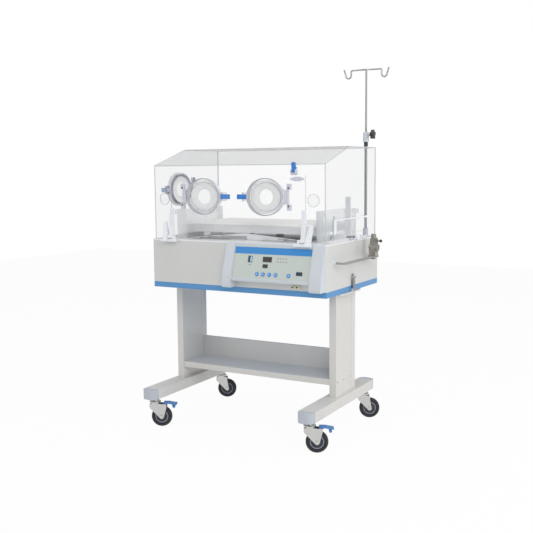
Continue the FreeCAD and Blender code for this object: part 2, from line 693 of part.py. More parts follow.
def deck_plate():
    plate = slab(HALF_LENGTH, HALF_DEPTH, CABINET_CORNER, DECK_BASE, DECK_TOP)
    plate = plate.cut(group(vent_slots(-1) + vent_slots(1)))
    intake = [rod((INTAKE_RING * math.cos(math.radians(60 * k)),
                   BLOWER_Y + INTAKE_RING * math.sin(math.radians(60 * k)), DECK_BASE - 1),
                  Z_AXIS, INTAKE_RADIUS, DECK_THICKNESS + 2) for k in range(6)]
    plate = plate.cut(group(intake))
    rib_x = HOOD_X - HOOD_WALL - 18
    ribs = [block(side * rib_x - RIB_WIDTH / 2, side * rib_x + RIB_WIDTH / 2, -RIB_HALF_LENGTH, RIB_HALF_LENGTH,
                  DECK_TOP - 1, DECK_TOP + RIB_HEIGHT) for side in (-1, 1)]
    posts = [tilt_post(side * TILT_POST_Y) for side in (-1, 1)]
    drive = block(GUARD_X + 8, rib_x - RIB_WIDTH / 2 - 6, TILT_KNOB_Y - 22, TILT_KNOB_Y + 22,
                  DECK_TOP - 1, TILT_KNOB_Z + 11)
    solid = fused([plate, drive] + ribs + posts)
    bores = [rod((0, side * TILT_POST_Y - 10, TILT_Z), Y_AXIS, TILT_PIN_RADIUS + HINGE_FIT, 20)
             for side in (-1, 1)]
    shaft_bore = rod((GUARD_X + 14, TILT_KNOB_Y, TILT_KNOB_Z), X_AXIS, TILT_SHAFT_RADIUS + HINGE_FIT,
                     rib_x - GUARD_X)
    shaft_notch = block(rib_x - 8, rib_x + 8, TILT_KNOB_Y - 6, TILT_KNOB_Y + 6, DECK_TOP + 0.5, TILT_KNOB_Z + 9)
    return solid.cut(group(bores + [shaft_bore, shaft_notch]))


# Bed: tray, mattress, end guards, probe and tilt knob

def mattress_tray():
    half_x = TRAY_LENGTH / 2
    half_y = TRAY_DEPTH / 2
    tray = slab(half_x, half_y, 14, TRAY_Z, TRAY_Z + TRAY_HEIGHT)
    hollow = slab(half_x - TRAY_WALL, half_y - TRAY_WALL, 14 - TRAY_WALL, TRAY_Z + TRAY_WALL,
                  TRAY_Z + TRAY_HEIGHT + 1)
    tray = tray.cut(hollow)
    lugs = []
    for side in (-1, 1):
        inner = TILT_POST_Y - 6 - 1 - 8
        y0, y1 = sorted((side * inner, side * (inner + 8)))
        lugs.append(plate_xz([(-9, TRAY_Z + 1), (-8, TILT_Z - 8, 6.0), (8, TILT_Z - 8, 6.0), (9, TRAY_Z + 1)],
                             y0, y1))
        reach = sorted((side * inner, side * (TILT_POST_Y + 6)))
        lugs.append(rod((0, reach[0], TILT_Z), Y_AXIS, TILT_PIN_RADIUS, reach[1] - reach[0]))
    clips = [block(x - 4, x + 4, -half_y - 2.5, -half_y + 1, TRAY_Z, TRAY_Z + TRAY_HEIGHT + 2)
             for x in (-half_x + 40, half_x - 40)]
    catch = revolved([(0, -1), (7, -1), (7, 6, 3.0), (0, 6)], (60, -half_y, TRAY_Z + 12), Vector(0, -1, 0))
    return fused([tray, catch] + lugs + clips)


def mattress():
    half_x = TRAY_LENGTH / 2 - TRAY_WALL - MATTRESS_GAP
    half_y = TRAY_DEPTH / 2 - TRAY_WALL - MATTRESS_GAP
    base = TRAY_Z + TRAY_WALL + SEAT_GAP
    return slab(half_x, half_y, 12, base, base + MATTRESS_THICKNESS)


def end_guard():
    """Channel-shaped guard at the right end of the bed, open towards the hood wall."""
    outer = GUARD_X + GUARD_RETURN
    half = GUARD_DEPTH / 2
    channel = [(GUARD_X, -half, GUARD_CORNER), (outer, -half), (outer, -half + GUARD_WALL),
               (GUARD_X + GUARD_WALL, -half + GUARD_WALL, GUARD_CORNER - GUARD_WALL),
               (GUARD_X + GUARD_WALL, half - GUARD_WALL, GUARD_CORNER - GUARD_WALL),
               (outer, half - GUARD_WALL), (outer, half), (GUARD_X, half, GUARD_CORNER)]
    wall = plate_xy(channel, DECK_TOP, DECK_TOP + GUARD_HEIGHT)
    flanges = [block(outer - 1, outer + 14, side * (half - 1.5) - 1.5, side * (half - 1.5) + 1.5,
                     DECK_TOP + GUARD_HEIGHT - 26, DECK_TOP + GUARD_HEIGHT - 3) for side in (-1, 1)]
    notch = block(GUARD_X - 1, GUARD_X + 10, TILT_KNOB_Y - 30, TILT_KNOB_Y + 30, DECK_TOP - 1, TILT_KNOB_Z + 18)
    return fused([wall] + flanges).cut(notch)


def end_guards():
    right = end_guard()
    return group([right, mirrored(right)])


def air_probe():
    """Upright housing of the air temperature probe, behind the right guard."""
    x0 = GUARD_X + GUARD_WALL + 8
    body = block(x0, x0 + PROBE_WIDTH, PROBE_Y, PROBE_Y + 9, DECK_TOP, DECK_TOP + PROBE_HEIGHT)
    foot = block(x0 - 3, x0 + PROBE_WIDTH + 3, PROBE_Y - 6, PROBE_Y + 15, DECK_TOP, DECK_TOP + 5)
    slots = [block(x0 + 5, x0 + PROBE_WIDTH - 5, PROBE_Y - 1, PROBE_Y + 2, z, z + 3)
             for z in (DECK_TOP + PROBE_HEIGHT - 14 - 7 * k for k in range(4))]
    return fused([body, foot]).cut(group(slots))


def tilt_knob():
    shaft_start = GUARD_X + 16
    knob_face = HALF_LENGTH + 5
    shaft = rod((shaft_start, TILT_KNOB_Y, TILT_KNOB_Z), X_AXIS, TILT_SHAFT_RADIUS, knob_face - shaft_start + 2)
    knob = revolved([(0, 0), (TILT_KNOB_RADIUS - 4, 0), (TILT_KNOB_RADIUS, 4, 3.0),
                     (TILT_KNOB_RADIUS, 16, 5.0), (0, 18)], (knob_face, TILT_KNOB_Y, TILT_KNOB_Z), X_AXIS)
    flutes = [rod((knob_face - 1, TILT_KNOB_Y + (TILT_KNOB_RADIUS + 2) * math.cos(math.radians(60 * k)),
                   TILT_KNOB_Z + (TILT_KNOB_RADIUS + 2) * math.sin(math.radians(60 * k))), X_AXIS, 4.0, 22)
              for k in range(6)]
    return fused([shaft, knob.cut(group(flutes))])


# Hood and its doors

def hood_form(inset, base):
    """Solid of the hood's outer form, drawn in by the inset, from the base level up."""
    x = HOOD_X - inset
    y = HOOD_Y - inset
    front = HOOD_BASE + HOOD_FRONT_HEIGHT - inset * 0.85
    roof = HOOD_BASE + HOOD_ROOF_HEIGHT - inset
    slope_back = -HOOD_Y + HOOD_SLOPE_BACK + inset * 0.15
    edge = max(HOOD_EDGE - inset, 1.0)
    profile = plate_yz([(-y, base), (-y, front, edge), (slope_back, roof, edge), (y, roof, edge), (y, base)],
                       -x, x)
    plan = slab(x, y, HOOD_CORNER - inset, base, roof)
    return profile.common(plan)


def hatch_window(gap):
    return (HATCH_FRONT + gap, HATCH_BACK - gap, DECK_TOP + HATCH_BOTTOM + gap, DECK_TOP + HATCH_TOP - gap)


def hood_lug(z0, z1):
    """Lug on the hood for the hatch hinge, with its pin left out."""
    x, y = HATCH_AXIS
    return fused([block(HOOD_X - 1, x, y - 4, y + 4, z0, z1), rod((x, y, z0), Z_AXIS, 4.0, z1 - z0)])


def port_latch_bracket(sign, x, y_out, z):
    """Clear bearing block for a port latch on a front face; sign points from the port to the block."""
    x0, x1 = sorted((x + sign * 6, x + sign * (6 + LATCH_BRACKET)))
    slot_half = LATCH_HEIGHT / 2 + 0.4
    body = block(x0, x1, y_out - 15, y_out + 0.5, z - 20, z + 20)
    return body.cut(block(x0 - 1, x1 + 1, y_out - 16, y_out - 1.5, z - slot_half, z + slot_half))


def side_turn(shape):
    """Turns a piece made for the front face about the port centre onto the left wall."""
    copy = turned(shape, (0, 0, 0), Z_AXIS, -90)
    return moved(copy, -HOOD_X, SIDE_PORT_Y, SIDE_PORT_Z)


def port_frame(y_out):
    """Raised oval frame that carries the cuff, on a face whose outside is at y_out."""
    half_w = PORT_HALF_WIDTH - PORT_CAP_WALL - PORT_FRAME_GAP
    half_h = PORT_HALF_HEIGHT - PORT_CAP_WALL - PORT_FRAME_GAP
    outer = oval(half_w, half_h, y_out - PORT_FRAME_DEPTH, y_out + 0.5)
    inner = oval(half_w - PORT_FRAME_WIDTH, half_h - PORT_FRAME_WIDTH, y_out - PORT_FRAME_DEPTH - 1, y_out + 1)
    return outer.cut(inner)


def port_hole(y_out):
    half_w = PORT_HALF_WIDTH - PORT_CAP_WALL - PORT_FRAME_GAP - PORT_FRAME_WIDTH
    half_h = PORT_HALF_HEIGHT - PORT_CAP_WALL - PORT_FRAME_GAP - PORT_FRAME_WIDTH
    return oval(half_w, half_h, y_out - 1, y_out + HOOD_WALL + 1)


def port_hinge_blocks(sign, y_out):
    """Two blocks with the hinge pin of a port door; sign points from the port centre to the hinge."""
    x = sign * (PORT_HALF_WIDTH + PORT_HINGE_OFFSET)
    blocks = []
    for end in (-1, 1):
        z0, z1 = sorted((end * PORT_HINGE_SPAN / 2, end * (PORT_HINGE_SPAN / 2 - PORT_HINGE_BLOCK)))
        x0, x1 = sorted((x - sign * 5, x + sign * (PORT_HINGE_WIDTH - 5)))
        blocks.append(block(x0, x1, y_out - PORT_HINGE_OUT - 5, y_out + 0.5, z0, z1))
    pin = rod((x, y_out - PORT_HINGE_OUT, -PORT_HINGE_SPAN / 2 + 4), Z_AXIS, PORT_HINGE_PIN,
              PORT_HINGE_SPAN - 8)
    return fused(blocks + [pin])


def port_door(sign):
    """Clear oval cap about the Y axis that closes a port, with its hinge knuckle on the sign side."""
    outer = oval(PORT_HALF_WIDTH, PORT_HALF_HEIGHT, -PORT_CAP_DEPTH, -SEAT_GAP)
    inner = oval(PORT_HALF_WIDTH - PORT_CAP_WALL, PORT_HALF_HEIGHT - PORT_CAP_WALL,
                 -PORT_CAP_DEPTH + PORT_CAP_WALL, 0)
    x = sign * (PORT_HALF_WIDTH + PORT_HINGE_OFFSET)
    reach = PORT_HINGE_SPAN / 2 - PORT_HINGE_BLOCK - 0.5
    near = sign * (PORT_HALF_WIDTH - 3)
    x0, x1 = sorted((x, near))
    strap = block(x0, x1, -PORT_HINGE_OUT - 4.5, -PORT_HINGE_OUT + 4.5, -reach, reach)
    knuckle = rod((x, -PORT_HINGE_OUT, -reach), Z_AXIS, 5.5, 2 * reach)
    solid = fused([outer, strap, knuckle]).cut(inner)
    return solid.cut(rod((x, -PORT_HINGE_OUT, -reach - 1), Z_AXIS, PORT_HINGE_PIN + HINGE_FIT, 2 * reach + 2))


def port_cuff():
    """Gathered cuff about the Y axis: an oval pad with a round hole, held in the frame."""
    half_w = PORT_HALF_WIDTH - PORT_CAP_WALL - PORT_FRAME_GAP - PORT_FRAME_WIDTH - SEAT_GAP
    half_h = PORT_HALF_HEIGHT - PORT_CAP_WALL - PORT_FRAME_GAP - PORT_FRAME_WIDTH - SEAT_GAP
    pad = oval(half_w, half_h, -CUFF_DEPTH - 1, -1)
    return pad.cut(rod((0, -CUFF_DEPTH - 2, 0), Y_AXIS, CUFF_HOLE, CUFF_DEPTH + 3))


def port_latch(sign):
    """Latch lever about a Z pin; the pad points away from the port, sign is that direction."""
    pivot = 6 + LATCH_BRACKET / 2
    nose = 1.0
    half = LATCH_HEIGHT / 2
    body = plate_xy([(sign * nose, -14.0), (sign * nose, -6.0), (sign * (pivot + 6), -5.0),
                     (sign * LATCH_LENGTH, -13.0, 2.0), (sign * LATCH_LENGTH, -18.0, 2.0),
                     (sign * (pivot + 4), -14.5)], -half, half)
    return body.cut(rod((sign * pivot, -10, -half - 1), Z_AXIS, 1.5 + HINGE_FIT, 2 * half + 2))


def port_latch_pin(sign):
    pivot = 6 + LATCH_BRACKET / 2
    return rod((sign * pivot, -10, -18), Z_AXIS, 1.5, 36)


def hood_shell():
    outer = hood_form(0.0, HOOD_BASE)
    inner = hood_form(HOOD_WALL, HOOD_BASE - 1)
    front_cut = block(-DOOR_HALF_WIDTH, DOOR_HALF_WIDTH, -HOOD_Y - 1, -HOOD_Y + HOOD_WALL + 1,
                      HOOD_BASE - 1, DECK_TOP + DOOR_TOP)
    y0, y1, z0, z1 = hatch_window(0.0)
    hatch_cut = plate_yz(rectangle(y0, y1, z0, z1, 4.0), HOOD_X - HOOD_WALL - 1, HOOD_X + 1)
    grommet_cuts = [rod((side * GROMMET_X, -HOOD_Y - 1, DECK_TOP + GROMMET_HEIGHT), Y_AXIS,
                        GROMMET_NECK + SEAT_GAP, HOOD_WALL + 2) for side in (-1, 1)]
    shaft_cut = block(HOOD_X - HOOD_WALL - 1, HOOD_X + 1, TILT_KNOB_Y - 7, TILT_KNOB_Y + 7,
                      HOOD_BASE - 1, TILT_KNOB_Z + 7)
    cuts = [inner, front_cut, hatch_cut, shaft_cut, side_turn(port_hole(0.0))] + grommet_cuts
    shell = outer.cut(group(cuts))
    extras = [side_turn(port_frame(0.0)), side_turn(port_hinge_blocks(-1, 0.0)), hood_top_latch_body(),
              side_turn(moved(port_latch_bracket(1, 0.0, 0.0, 0.0), PORT_HALF_WIDTH, 0, 0)),
              side_turn(moved(port_latch_pin(1), PORT_HALF_WIDTH, 0, 0))]
    x, y = HATCH_AXIS
    extras += [hood_lug(z0 - 12, z0 - 1), hood_lug(z1 + 1, z1 + 12)]
    extras += [rod((x, y, z0 - 8), Z_AXIS, 2.0, 14), rod((x, y, z1 - 6), Z_AXIS, 2.0, 14)]
    return fused([shell] + extras)


def hood_top_latch_body():
    """Clear block over the door that carries the blue lever."""
    y, z = TOP_LATCH_AXIS
    half = TOP_LATCH_WIDTH / 2
    body = plate_yz([(-HOOD_Y + 1, DECK_TOP + DOOR_TOP + 1.5), (-HOOD_Y - 7, DECK_TOP + DOOR_TOP + 1.5, 2.0),
                     (y - 6, z - 9), (y - 6, z + 6, 5.0), (-HOOD_Y + 1, z + 6)],
                    TOP_LATCH_X - half, TOP_LATCH_X + half)
    gap = block(TOP_LATCH_X - half + 6, TOP_LATCH_X + half - 6, y - 12, -HOOD_Y - 0.4, z - 8, z + 12)
    pin = rod((TOP_LATCH_X - half + 2, y, z), X_AXIS, 2.0, 2 * half - 4)
    return fused([body.cut(gap), pin])


def front_door_latch():
    """Blue lever over the front door, upright at rest, that folds forward."""
    y, z = TOP_LATCH_AXIS
    half = TOP_LATCH_WIDTH / 2 - 6.5
    hub = rod((TOP_LATCH_X - half, y, z), X_AXIS, 6.0, 2 * half)
    neck = plate_yz([(y - 5, z), (y + 5, z), (y + 4, z + 14), (y - 5, z + 14)],
                    TOP_LATCH_X - half, TOP_LATCH_X + half)
    toe = TOP_LATCH_X + TOP_LATCH_WIDTH / 2
    pad = plate_xz([(TOP_LATCH_X - half, z + 8), (toe, z + TOP_LATCH_TOE, 3.5), (toe, z + 14, 2.0),
                    (TOP_LATCH_X + 9, z + 18, 8.0), (TOP_LATCH_X + 10, z + TOP_LATCH_LEVER, 8.5),
                    (TOP_LATCH_X - 10, z + TOP_LATCH_LEVER, 8.5)], y - 5, y + 3)
    solid = fused([hub, neck, pad])
    return solid.cut(rod((TOP_LATCH_X - half - 1, y, z), X_AXIS, 2.0 + HINGE_FIT, 2 * half + 2))


def front_door_panel():
    half = DOOR_HALF_WIDTH - DOOR_GAP
    top = DECK_TOP + DOOR_TOP - DOOR_GAP
    bottom = DECK_TOP + DOOR_BOTTOM
    panel = plate_xz(rectangle(-half, half, bottom, top, 5.0), -HOOD_Y, -HOOD_Y + HOOD_WALL)
    holes = [moved(port_hole(-HOOD_Y), side * PORT_SPACING / 2, 0, PORT_Z) for side in (-1, 1)]
    panel = panel.cut(group(holes))
    extras = []
    for side in (-1, 1):
        x = side * PORT_SPACING / 2
        extras.append(moved(port_frame(-HOOD_Y), x, 0, PORT_Z))
        extras.append(moved(port_hinge_blocks(side, -HOOD_Y), x, 0, PORT_Z))
        edge = x - side * PORT_HALF_WIDTH
        extras.append(port_latch_bracket(-side, edge, -HOOD_Y, PORT_Z))
        extras.append(moved(port_latch_pin(-side), edge, -HOOD_Y, PORT_Z))
    extras.append(door_finger_catch(top))
    return fused([panel] + extras)


def door_finger_catch(top):
    """Winged finger catch near the top edge of the door, under the latch."""
    x = TOP_LATCH_X + FINGER_CATCH_SHIFT
    wings = plate_xz([(x - 36, top - 16), (x - 10, top - 24, 4.0),
                      (x + 10, top - 24, 4.0), (x + 36, top - 16),
                      (x + 36, top - 12, 1.0), (x + 12, top - 4, 4.0), (x - 12, top - 4, 4.0),
                      (x - 36, top - 12, 1.0)], -HOOD_Y - 6, -HOOD_Y + 0.5)
    grip = rod((x, -HOOD_Y - 13, top - 16), Y_AXIS, 8.0, 13.5)
    return fused([wings, grip])


def door_arm():
    """White arm on the right lower corner of the door, with its knuckle on the pivot."""
    y, z = DOOR_PIVOT
    x1 = DOOR_HALF_WIDTH - DOOR_GAP - ARM_INSET + ARM_WIDTH
    x0 = x1 - ARM_WIDTH
    x1 = min(x1, DOOR_HALF_WIDTH + ARM_WIDTH / 2)
    top = DECK_TOP + ARM_HEIGHT + 8
    face = -HOOD_Y - SEAT_GAP
    blade = plate_yz([(y, z - ARM_KNUCKLE + 0.2), (face - 3, z - 7), (face, z + 1), (face, top),
                      (face - ARM_THICKNESS + 2, top, 4.0), (face - ARM_THICKNESS, z + 50, 60.0),
                      (y + 3, z + 14, 10.0), (y - 3, z)], x0, x1)
    side = fused([blade, rod((x0, y, z), X_AXIS, ARM_KNUCKLE, x1 - x0)])
    front = plate_xz([(x0, z - 9), (x1, z - 9), (x1 - 3, top - 4),
                      (x1 - 5, top + 2, 4.0), (x0 + 6, top + 2, 4.0),
                      (x0 + 3, top - 4)], y - 12, face + 2)
    arm = side.common(front)
    pads = [rod((x0 + ARM_WIDTH / 2, face - ARM_THICKNESS - 0.6, level), Y_AXIS, 4.0, 3.0)
            for level in (top - 18, top - 58)]
    arm = fused([arm] + pads)
    return arm.cut(rod((x0 - 1, y, z), X_AXIS, HINGE_PIN_RADIUS + HINGE_FIT, ARM_WIDTH + 2))


def door_arms():
    right = door_arm()
    return group([right, mirrored(right)])


def hinge_bracket():
    """Fixed bracket on the hood's right front strip: foot, outer leg, inner ear and pin."""
    y, z = DOOR_PIVOT
    x_arm0 = DOOR_HALF_WIDTH - DOOR_GAP - ARM_INSET
    x_arm1 = x_arm0 + ARM_WIDTH
    foot_x0 = x_arm0 - BRACKET_FOOT_INSET
    foot_x1 = foot_x0 + BRACKET_FOOT_WIDTH
    face = -HOOD_Y
    foot_top = z - 9
    front = face - BRACKET_FOOT_DEPTH
    ledge = face - HOOD_INSET - BRACKET_LEDGE
    foot = plate_yz([(face - SEAT_GAP, foot_top), (face - SEAT_GAP, DECK_TOP + 0.6), (ledge, DECK_TOP + 0.6),
                     (ledge, foot_top - BRACKET_FOOT_HEIGHT), (front, foot_top - BRACKET_FOOT_HEIGHT, 3.0),
                     (front, foot_top, 4.0)], foot_x0, foot_x1)
    leg_x0 = x_arm1 + 2
    leg_x1 = leg_x0 + BRACKET_LEG_WIDTH
    leg_top = foot_top + BRACKET_LEG_HEIGHT
    leg_side = plate_yz([(face - BRACKET_FOOT_DEPTH + 4, foot_top - 1), (face, foot_top - 1), (face, leg_top),
                         (face - 7, leg_top, 3.0)], leg_x0, leg_x1 + BRACKET_LEG_LEAN)
    leg = plate_xz([(leg_x0, foot_top - 1), (leg_x1, foot_top - 1), (leg_x1 + BRACKET_LEG_LEAN, leg_top, 5.0),
                    (leg_x0 + BRACKET_LEG_LEAN, leg_top, 5.0)], front, face).common(leg_side)
    ear = plate_yz([(y - 8, foot_top - 1), (y + 8, foot_top - 1), (y + 7, z + 7, 6.0), (y - 7, z + 7, 6.0)],
                   x_arm0 - 1 - BRACKET_EAR, x_arm0 - 1)
    pin_x0 = x_arm0 - BRACKET_EAR
    pin = rod((pin_x0, y, z), X_AXIS, HINGE_PIN_RADIUS, leg_x0 + 8 - pin_x0)
    swing_gap = block(x_arm0 - 1, x_arm1 + 1, front - 1, y - 12,
                      foot_top - BRACKET_FOOT_HEIGHT - 1, foot_top + 1)
    return fused([foot.cut(swing_gap), leg, ear, pin])


def door_hinge_brackets():
    right = hinge_bracket()
    return group([right, mirrored(right)])


def tube_grommet(x):
    """Round plug with raised rings in the front strip, for tubes and leads."""
    face = -HOOD_Y
    inner = -HOOD_WALL - SEAT_GAP
    return revolved([(0, -HOOD_WALL - 2), (GROMMET_NECK + 3, -HOOD_WALL - 2), (GROMMET_NECK + 3, inner),
                     (GROMMET_NECK, inner), (GROMMET_NECK, SEAT_GAP), (GROMMET_RADIUS, SEAT_GAP),
                     (GROMMET_RADIUS, 2.5, 1.5), (GROMMET_RADIUS - 6, 3.5), (GROMMET_RADIUS - 8, 2), (15, 2),
                     (13, 4.5), (9, 4.5), (8, 2), (0, 2)],
                    (x, face, DECK_TOP + GROMMET_HEIGHT), Vector(0, -1, 0))


def tube_grommets():
    return group([tube_grommet(-GROMMET_X), tube_grommet(GROMMET_X)])


def side_hatch():
    y0, y1, z0, z1 = hatch_window(HATCH_GAP)
    x, y = HATCH_AXIS
    panel = plate_yz(rectangle(y0, y1, z0, z1, 3.0), HOOD_X - HOOD_WALL, HOOD_X)
    strap = block(HOOD_X + 0.5, x + 2, y, y0 + 14, z0 + 6, z1 - 6)
    root = block(HOOD_X - 1, x + 2, y0 + 2, y0 + 14, z0 + 6, z1 - 6)
    knuckle = rod((x, y, z0 + 0.5), Z_AXIS, 4.0, z1 - z0 - 1)
    bar = rod((HOOD_X + 4, y0 + 12, z1 - 6), Y_AXIS, 3.0, y1 - y0 - 18)
    standoffs = [block(HOOD_X - 1, HOOD_X + 5, yy - 3, yy + 3, z1 - 8, z1 - 4) for yy in (y0 + 60, y1 - 60)]
    ball = Part.makeSphere(6.5, Vector(HOOD_X + 4, y1 - 4, z1 - 6))
    solid = fused([panel, strap, root, knuckle, bar, ball] + standoffs)
    return solid.cut(rod((x, y, z0 - 1), Z_AXIS, 2.0 + HINGE_FIT, z1 - z0 + 2))


# Control unit

def unit_profile(inset, out_top, out_bottom):
    """Side outline of the control unit: flat back, bowed sloping front."""
    y = -HALF_DEPTH
    base = CABINET_BASE + UNIT_BOTTOM + inset
    top = DECK_TOP - 2 - inset
    lower = base + 10
    return [(y, base), (y - out_bottom + inset + 6, base), (y - out_bottom + inset, lower, 5.0),
            (y - out_bottom + 6 + inset, base + 60, 80.0), (y - out_top - 18 + inset, top - 60, 90.0),
            (y - out_top + inset, top, 3.0), (y, top)]


def control_housing():
    cheek_profile = unit_profile(0.0, UNIT_TOP_OUT, UNIT_BOTTOM_OUT)
    inner_profile = unit_profile(UNIT_WALL, UNIT_TOP_OUT, UNIT_BOTTOM_OUT)
    left = plate_yz(cheek_profile, UNIT_LEFT, FACE_LEFT)
    right = plate_yz(cheek_profile, FACE_RIGHT, UNIT_RIGHT)
    y = -HALF_DEPTH
    foot_y = y - FACE_BOTTOM_OUT
    foot_z = CABINET_BASE + FACE_BOTTOM
    middle = plate_yz([(y, foot_z - FACE_LIP - 4), (foot_y - 2, foot_z - FACE_LIP, 7.0),
                       (foot_y - 4, foot_z - 2, 3.0), (foot_y, foot_z),
                       (y - FACE_TOP_OUT, CABINET_BASE + FACE_TOP),
                       (y - FACE_TOP_OUT - 2, DECK_TOP - 5, 3.0), (y - 2, DECK_TOP - 3), (y, DECK_TOP - 3)],
                      FACE_LEFT - 1, FACE_RIGHT + 1)
    body = fused([left, right, middle])
    hollow = plate_yz([(y + 1, foot_z - FACE_LIP - 4 + UNIT_WALL), (foot_y + 6, foot_z - FACE_LIP + UNIT_WALL),
                       (foot_y + 5, foot_z), (y - FACE_TOP_OUT + 3.0, CABINET_BASE + FACE_TOP - 12),
                       (y + 1, CABINET_BASE + FACE_TOP - 12)],
                      FACE_LEFT + 6, FACE_RIGHT - 6)
    cheek_hollows = [plate_yz(inner_profile, x0 + UNIT_WALL, x1 - UNIT_WALL)
                     for x0, x1 in ((UNIT_LEFT, FACE_LEFT), (FACE_RIGHT, UNIT_RIGHT))]
    seat = on_face(panel_plate(-PANEL_THICKNESS, 1.0, 0.0))
    body = body.cut(group([hollow, seat] + cheek_hollows))
    body = body.cut(group([on_face(hole) for hole in control_holes()]))
    return fused([body, lead_sockets()])


def lead_sockets():
    """Sockets for the probe leads, in the recess under the control face."""
    y = -HALF_DEPTH
    z = CABINET_BASE + UNIT_BOTTOM + 14
    centres = [FACE_RIGHT - inset for inset in SOCKET_INSET]
    plate = block(centres[1] - 12, centres[0] + 12, y - 4, y, z - 10, z + 16)
    rims = [rod((x, y - 16, z), Y_AXIS, SOCKET_RADIUS, 13.0) for x in centres]
    holes = [rod((x, y - 17, z), Y_AXIS, SOCKET_RADIUS - 3, 12.0) for x in centres]
    return fused([plate] + rims).cut(group(holes))


def panel_plate(w0, w1, shrink):
    margin = PANEL_MARGIN + shrink
    return plate_xy(rectangle(margin, FACE_WIDTH - margin, 1 + shrink, FACE_LENGTH - 1 - shrink, 3.0), w0, w1)


def control_holes():
    holes = [rod((x, BUTTON_ROW, -12), Z_AXIS, BUTTON_RADIUS + BUTTON_FIT, 16) for x in BUTTON_COLUMNS]
    holes.append(block(ROCKER_COLUMN - ROCKER_LENGTH / 2 - 1.2, ROCKER_COLUMN + ROCKER_LENGTH / 2 + 1.2,
                       ROCKER_ROW - ROCKER_WIDTH / 2 - 0.6, ROCKER_ROW + ROCKER_WIDTH / 2 + 0.6, -12, 4))
    return holes


def control_panel():
    plate = panel_plate(-PANEL_THICKNESS, 0.0, 0.2)
    return on_face(plate.cut(group(control_holes())))


def panel_windows():
    """Displays, level window and signal lamps, seated on the control panel."""
    windows = [block(*area, 0, WINDOW_PROUD) for area in (MAIN_DISPLAY, SMALL_DISPLAY, LEVEL_WINDOW)]
    for row in LAMP_ROWS:
        for step in range(4):
            windows.append(rod((LAMP_COLUMN + LAMP_PITCH * step, row, 0), Z_AXIS, LAMP_RADIUS, WINDOW_PROUD))
    return on_face(group(windows))


def button(x):
    cap = revolved([(0, -5), (BUTTON_RADIUS, -5), (BUTTON_RADIUS, BUTTON_PROUD - 1),
                    (BUTTON_RADIUS - 1, BUTTON_PROUD), (0, BUTTON_PROUD - 0.6)], (x, BUTTON_ROW, 0), Z_AXIS)
    return on_face(cap)


def rocker_switch():
    half = ROCKER_LENGTH / 2
    profile = [(-half + 1, -6), (half - 1, -6), (half, 3.4, 1.0), (0, 1.4), (-half, 3.4, 1.0)]
    wire = outline(profile, lambda a, b: Vector(ROCKER_COLUMN + a, ROCKER_ROW - ROCKER_WIDTH / 2, b))
    body = Part.Face(wire).extrude(Vector(0, ROCKER_WIDTH, 0))
    stubs = rod((ROCKER_COLUMN, ROCKER_ROW - ROCKER_WIDTH / 2 - 0.3, -ROCKER_PIVOT_DEPTH), Y_AXIS, 1.0,
                ROCKER_WIDTH + 0.6)
    return on_face(fused([body, stubs]))


# Rail, clamp and draw latches

def side_rail():
    half_t = RAIL_THICKNESS / 2
    half_h = RAIL_HEIGHT / 2
    tip = RAIL_FRONT - 6
    taper_end = RAIL_FRONT + 16
    back = RAIL_BACK + 14
    bar = plate_yz([(tip, RAIL_LEVEL - half_h / 2, 2.0), (taper_end, RAIL_LEVEL - half_h),
                    (back, RAIL_LEVEL - half_h, 3.0), (back, RAIL_LEVEL + half_h, 3.0),
                    (taper_end, RAIL_LEVEL + half_h), (tip, RAIL_LEVEL + half_h / 2, 2.0)],
                   RAIL_X - half_t, RAIL_X + half_t)
    rods = [rod((HALF_LENGTH - SHELL_WALL, y, RAIL_LEVEL), X_AXIS, RAIL_ROD, RAIL_OUT + SHELL_WALL)
            for y in (RAIL_FRONT, RAIL_BACK)]
    return fused([bar] + rods)


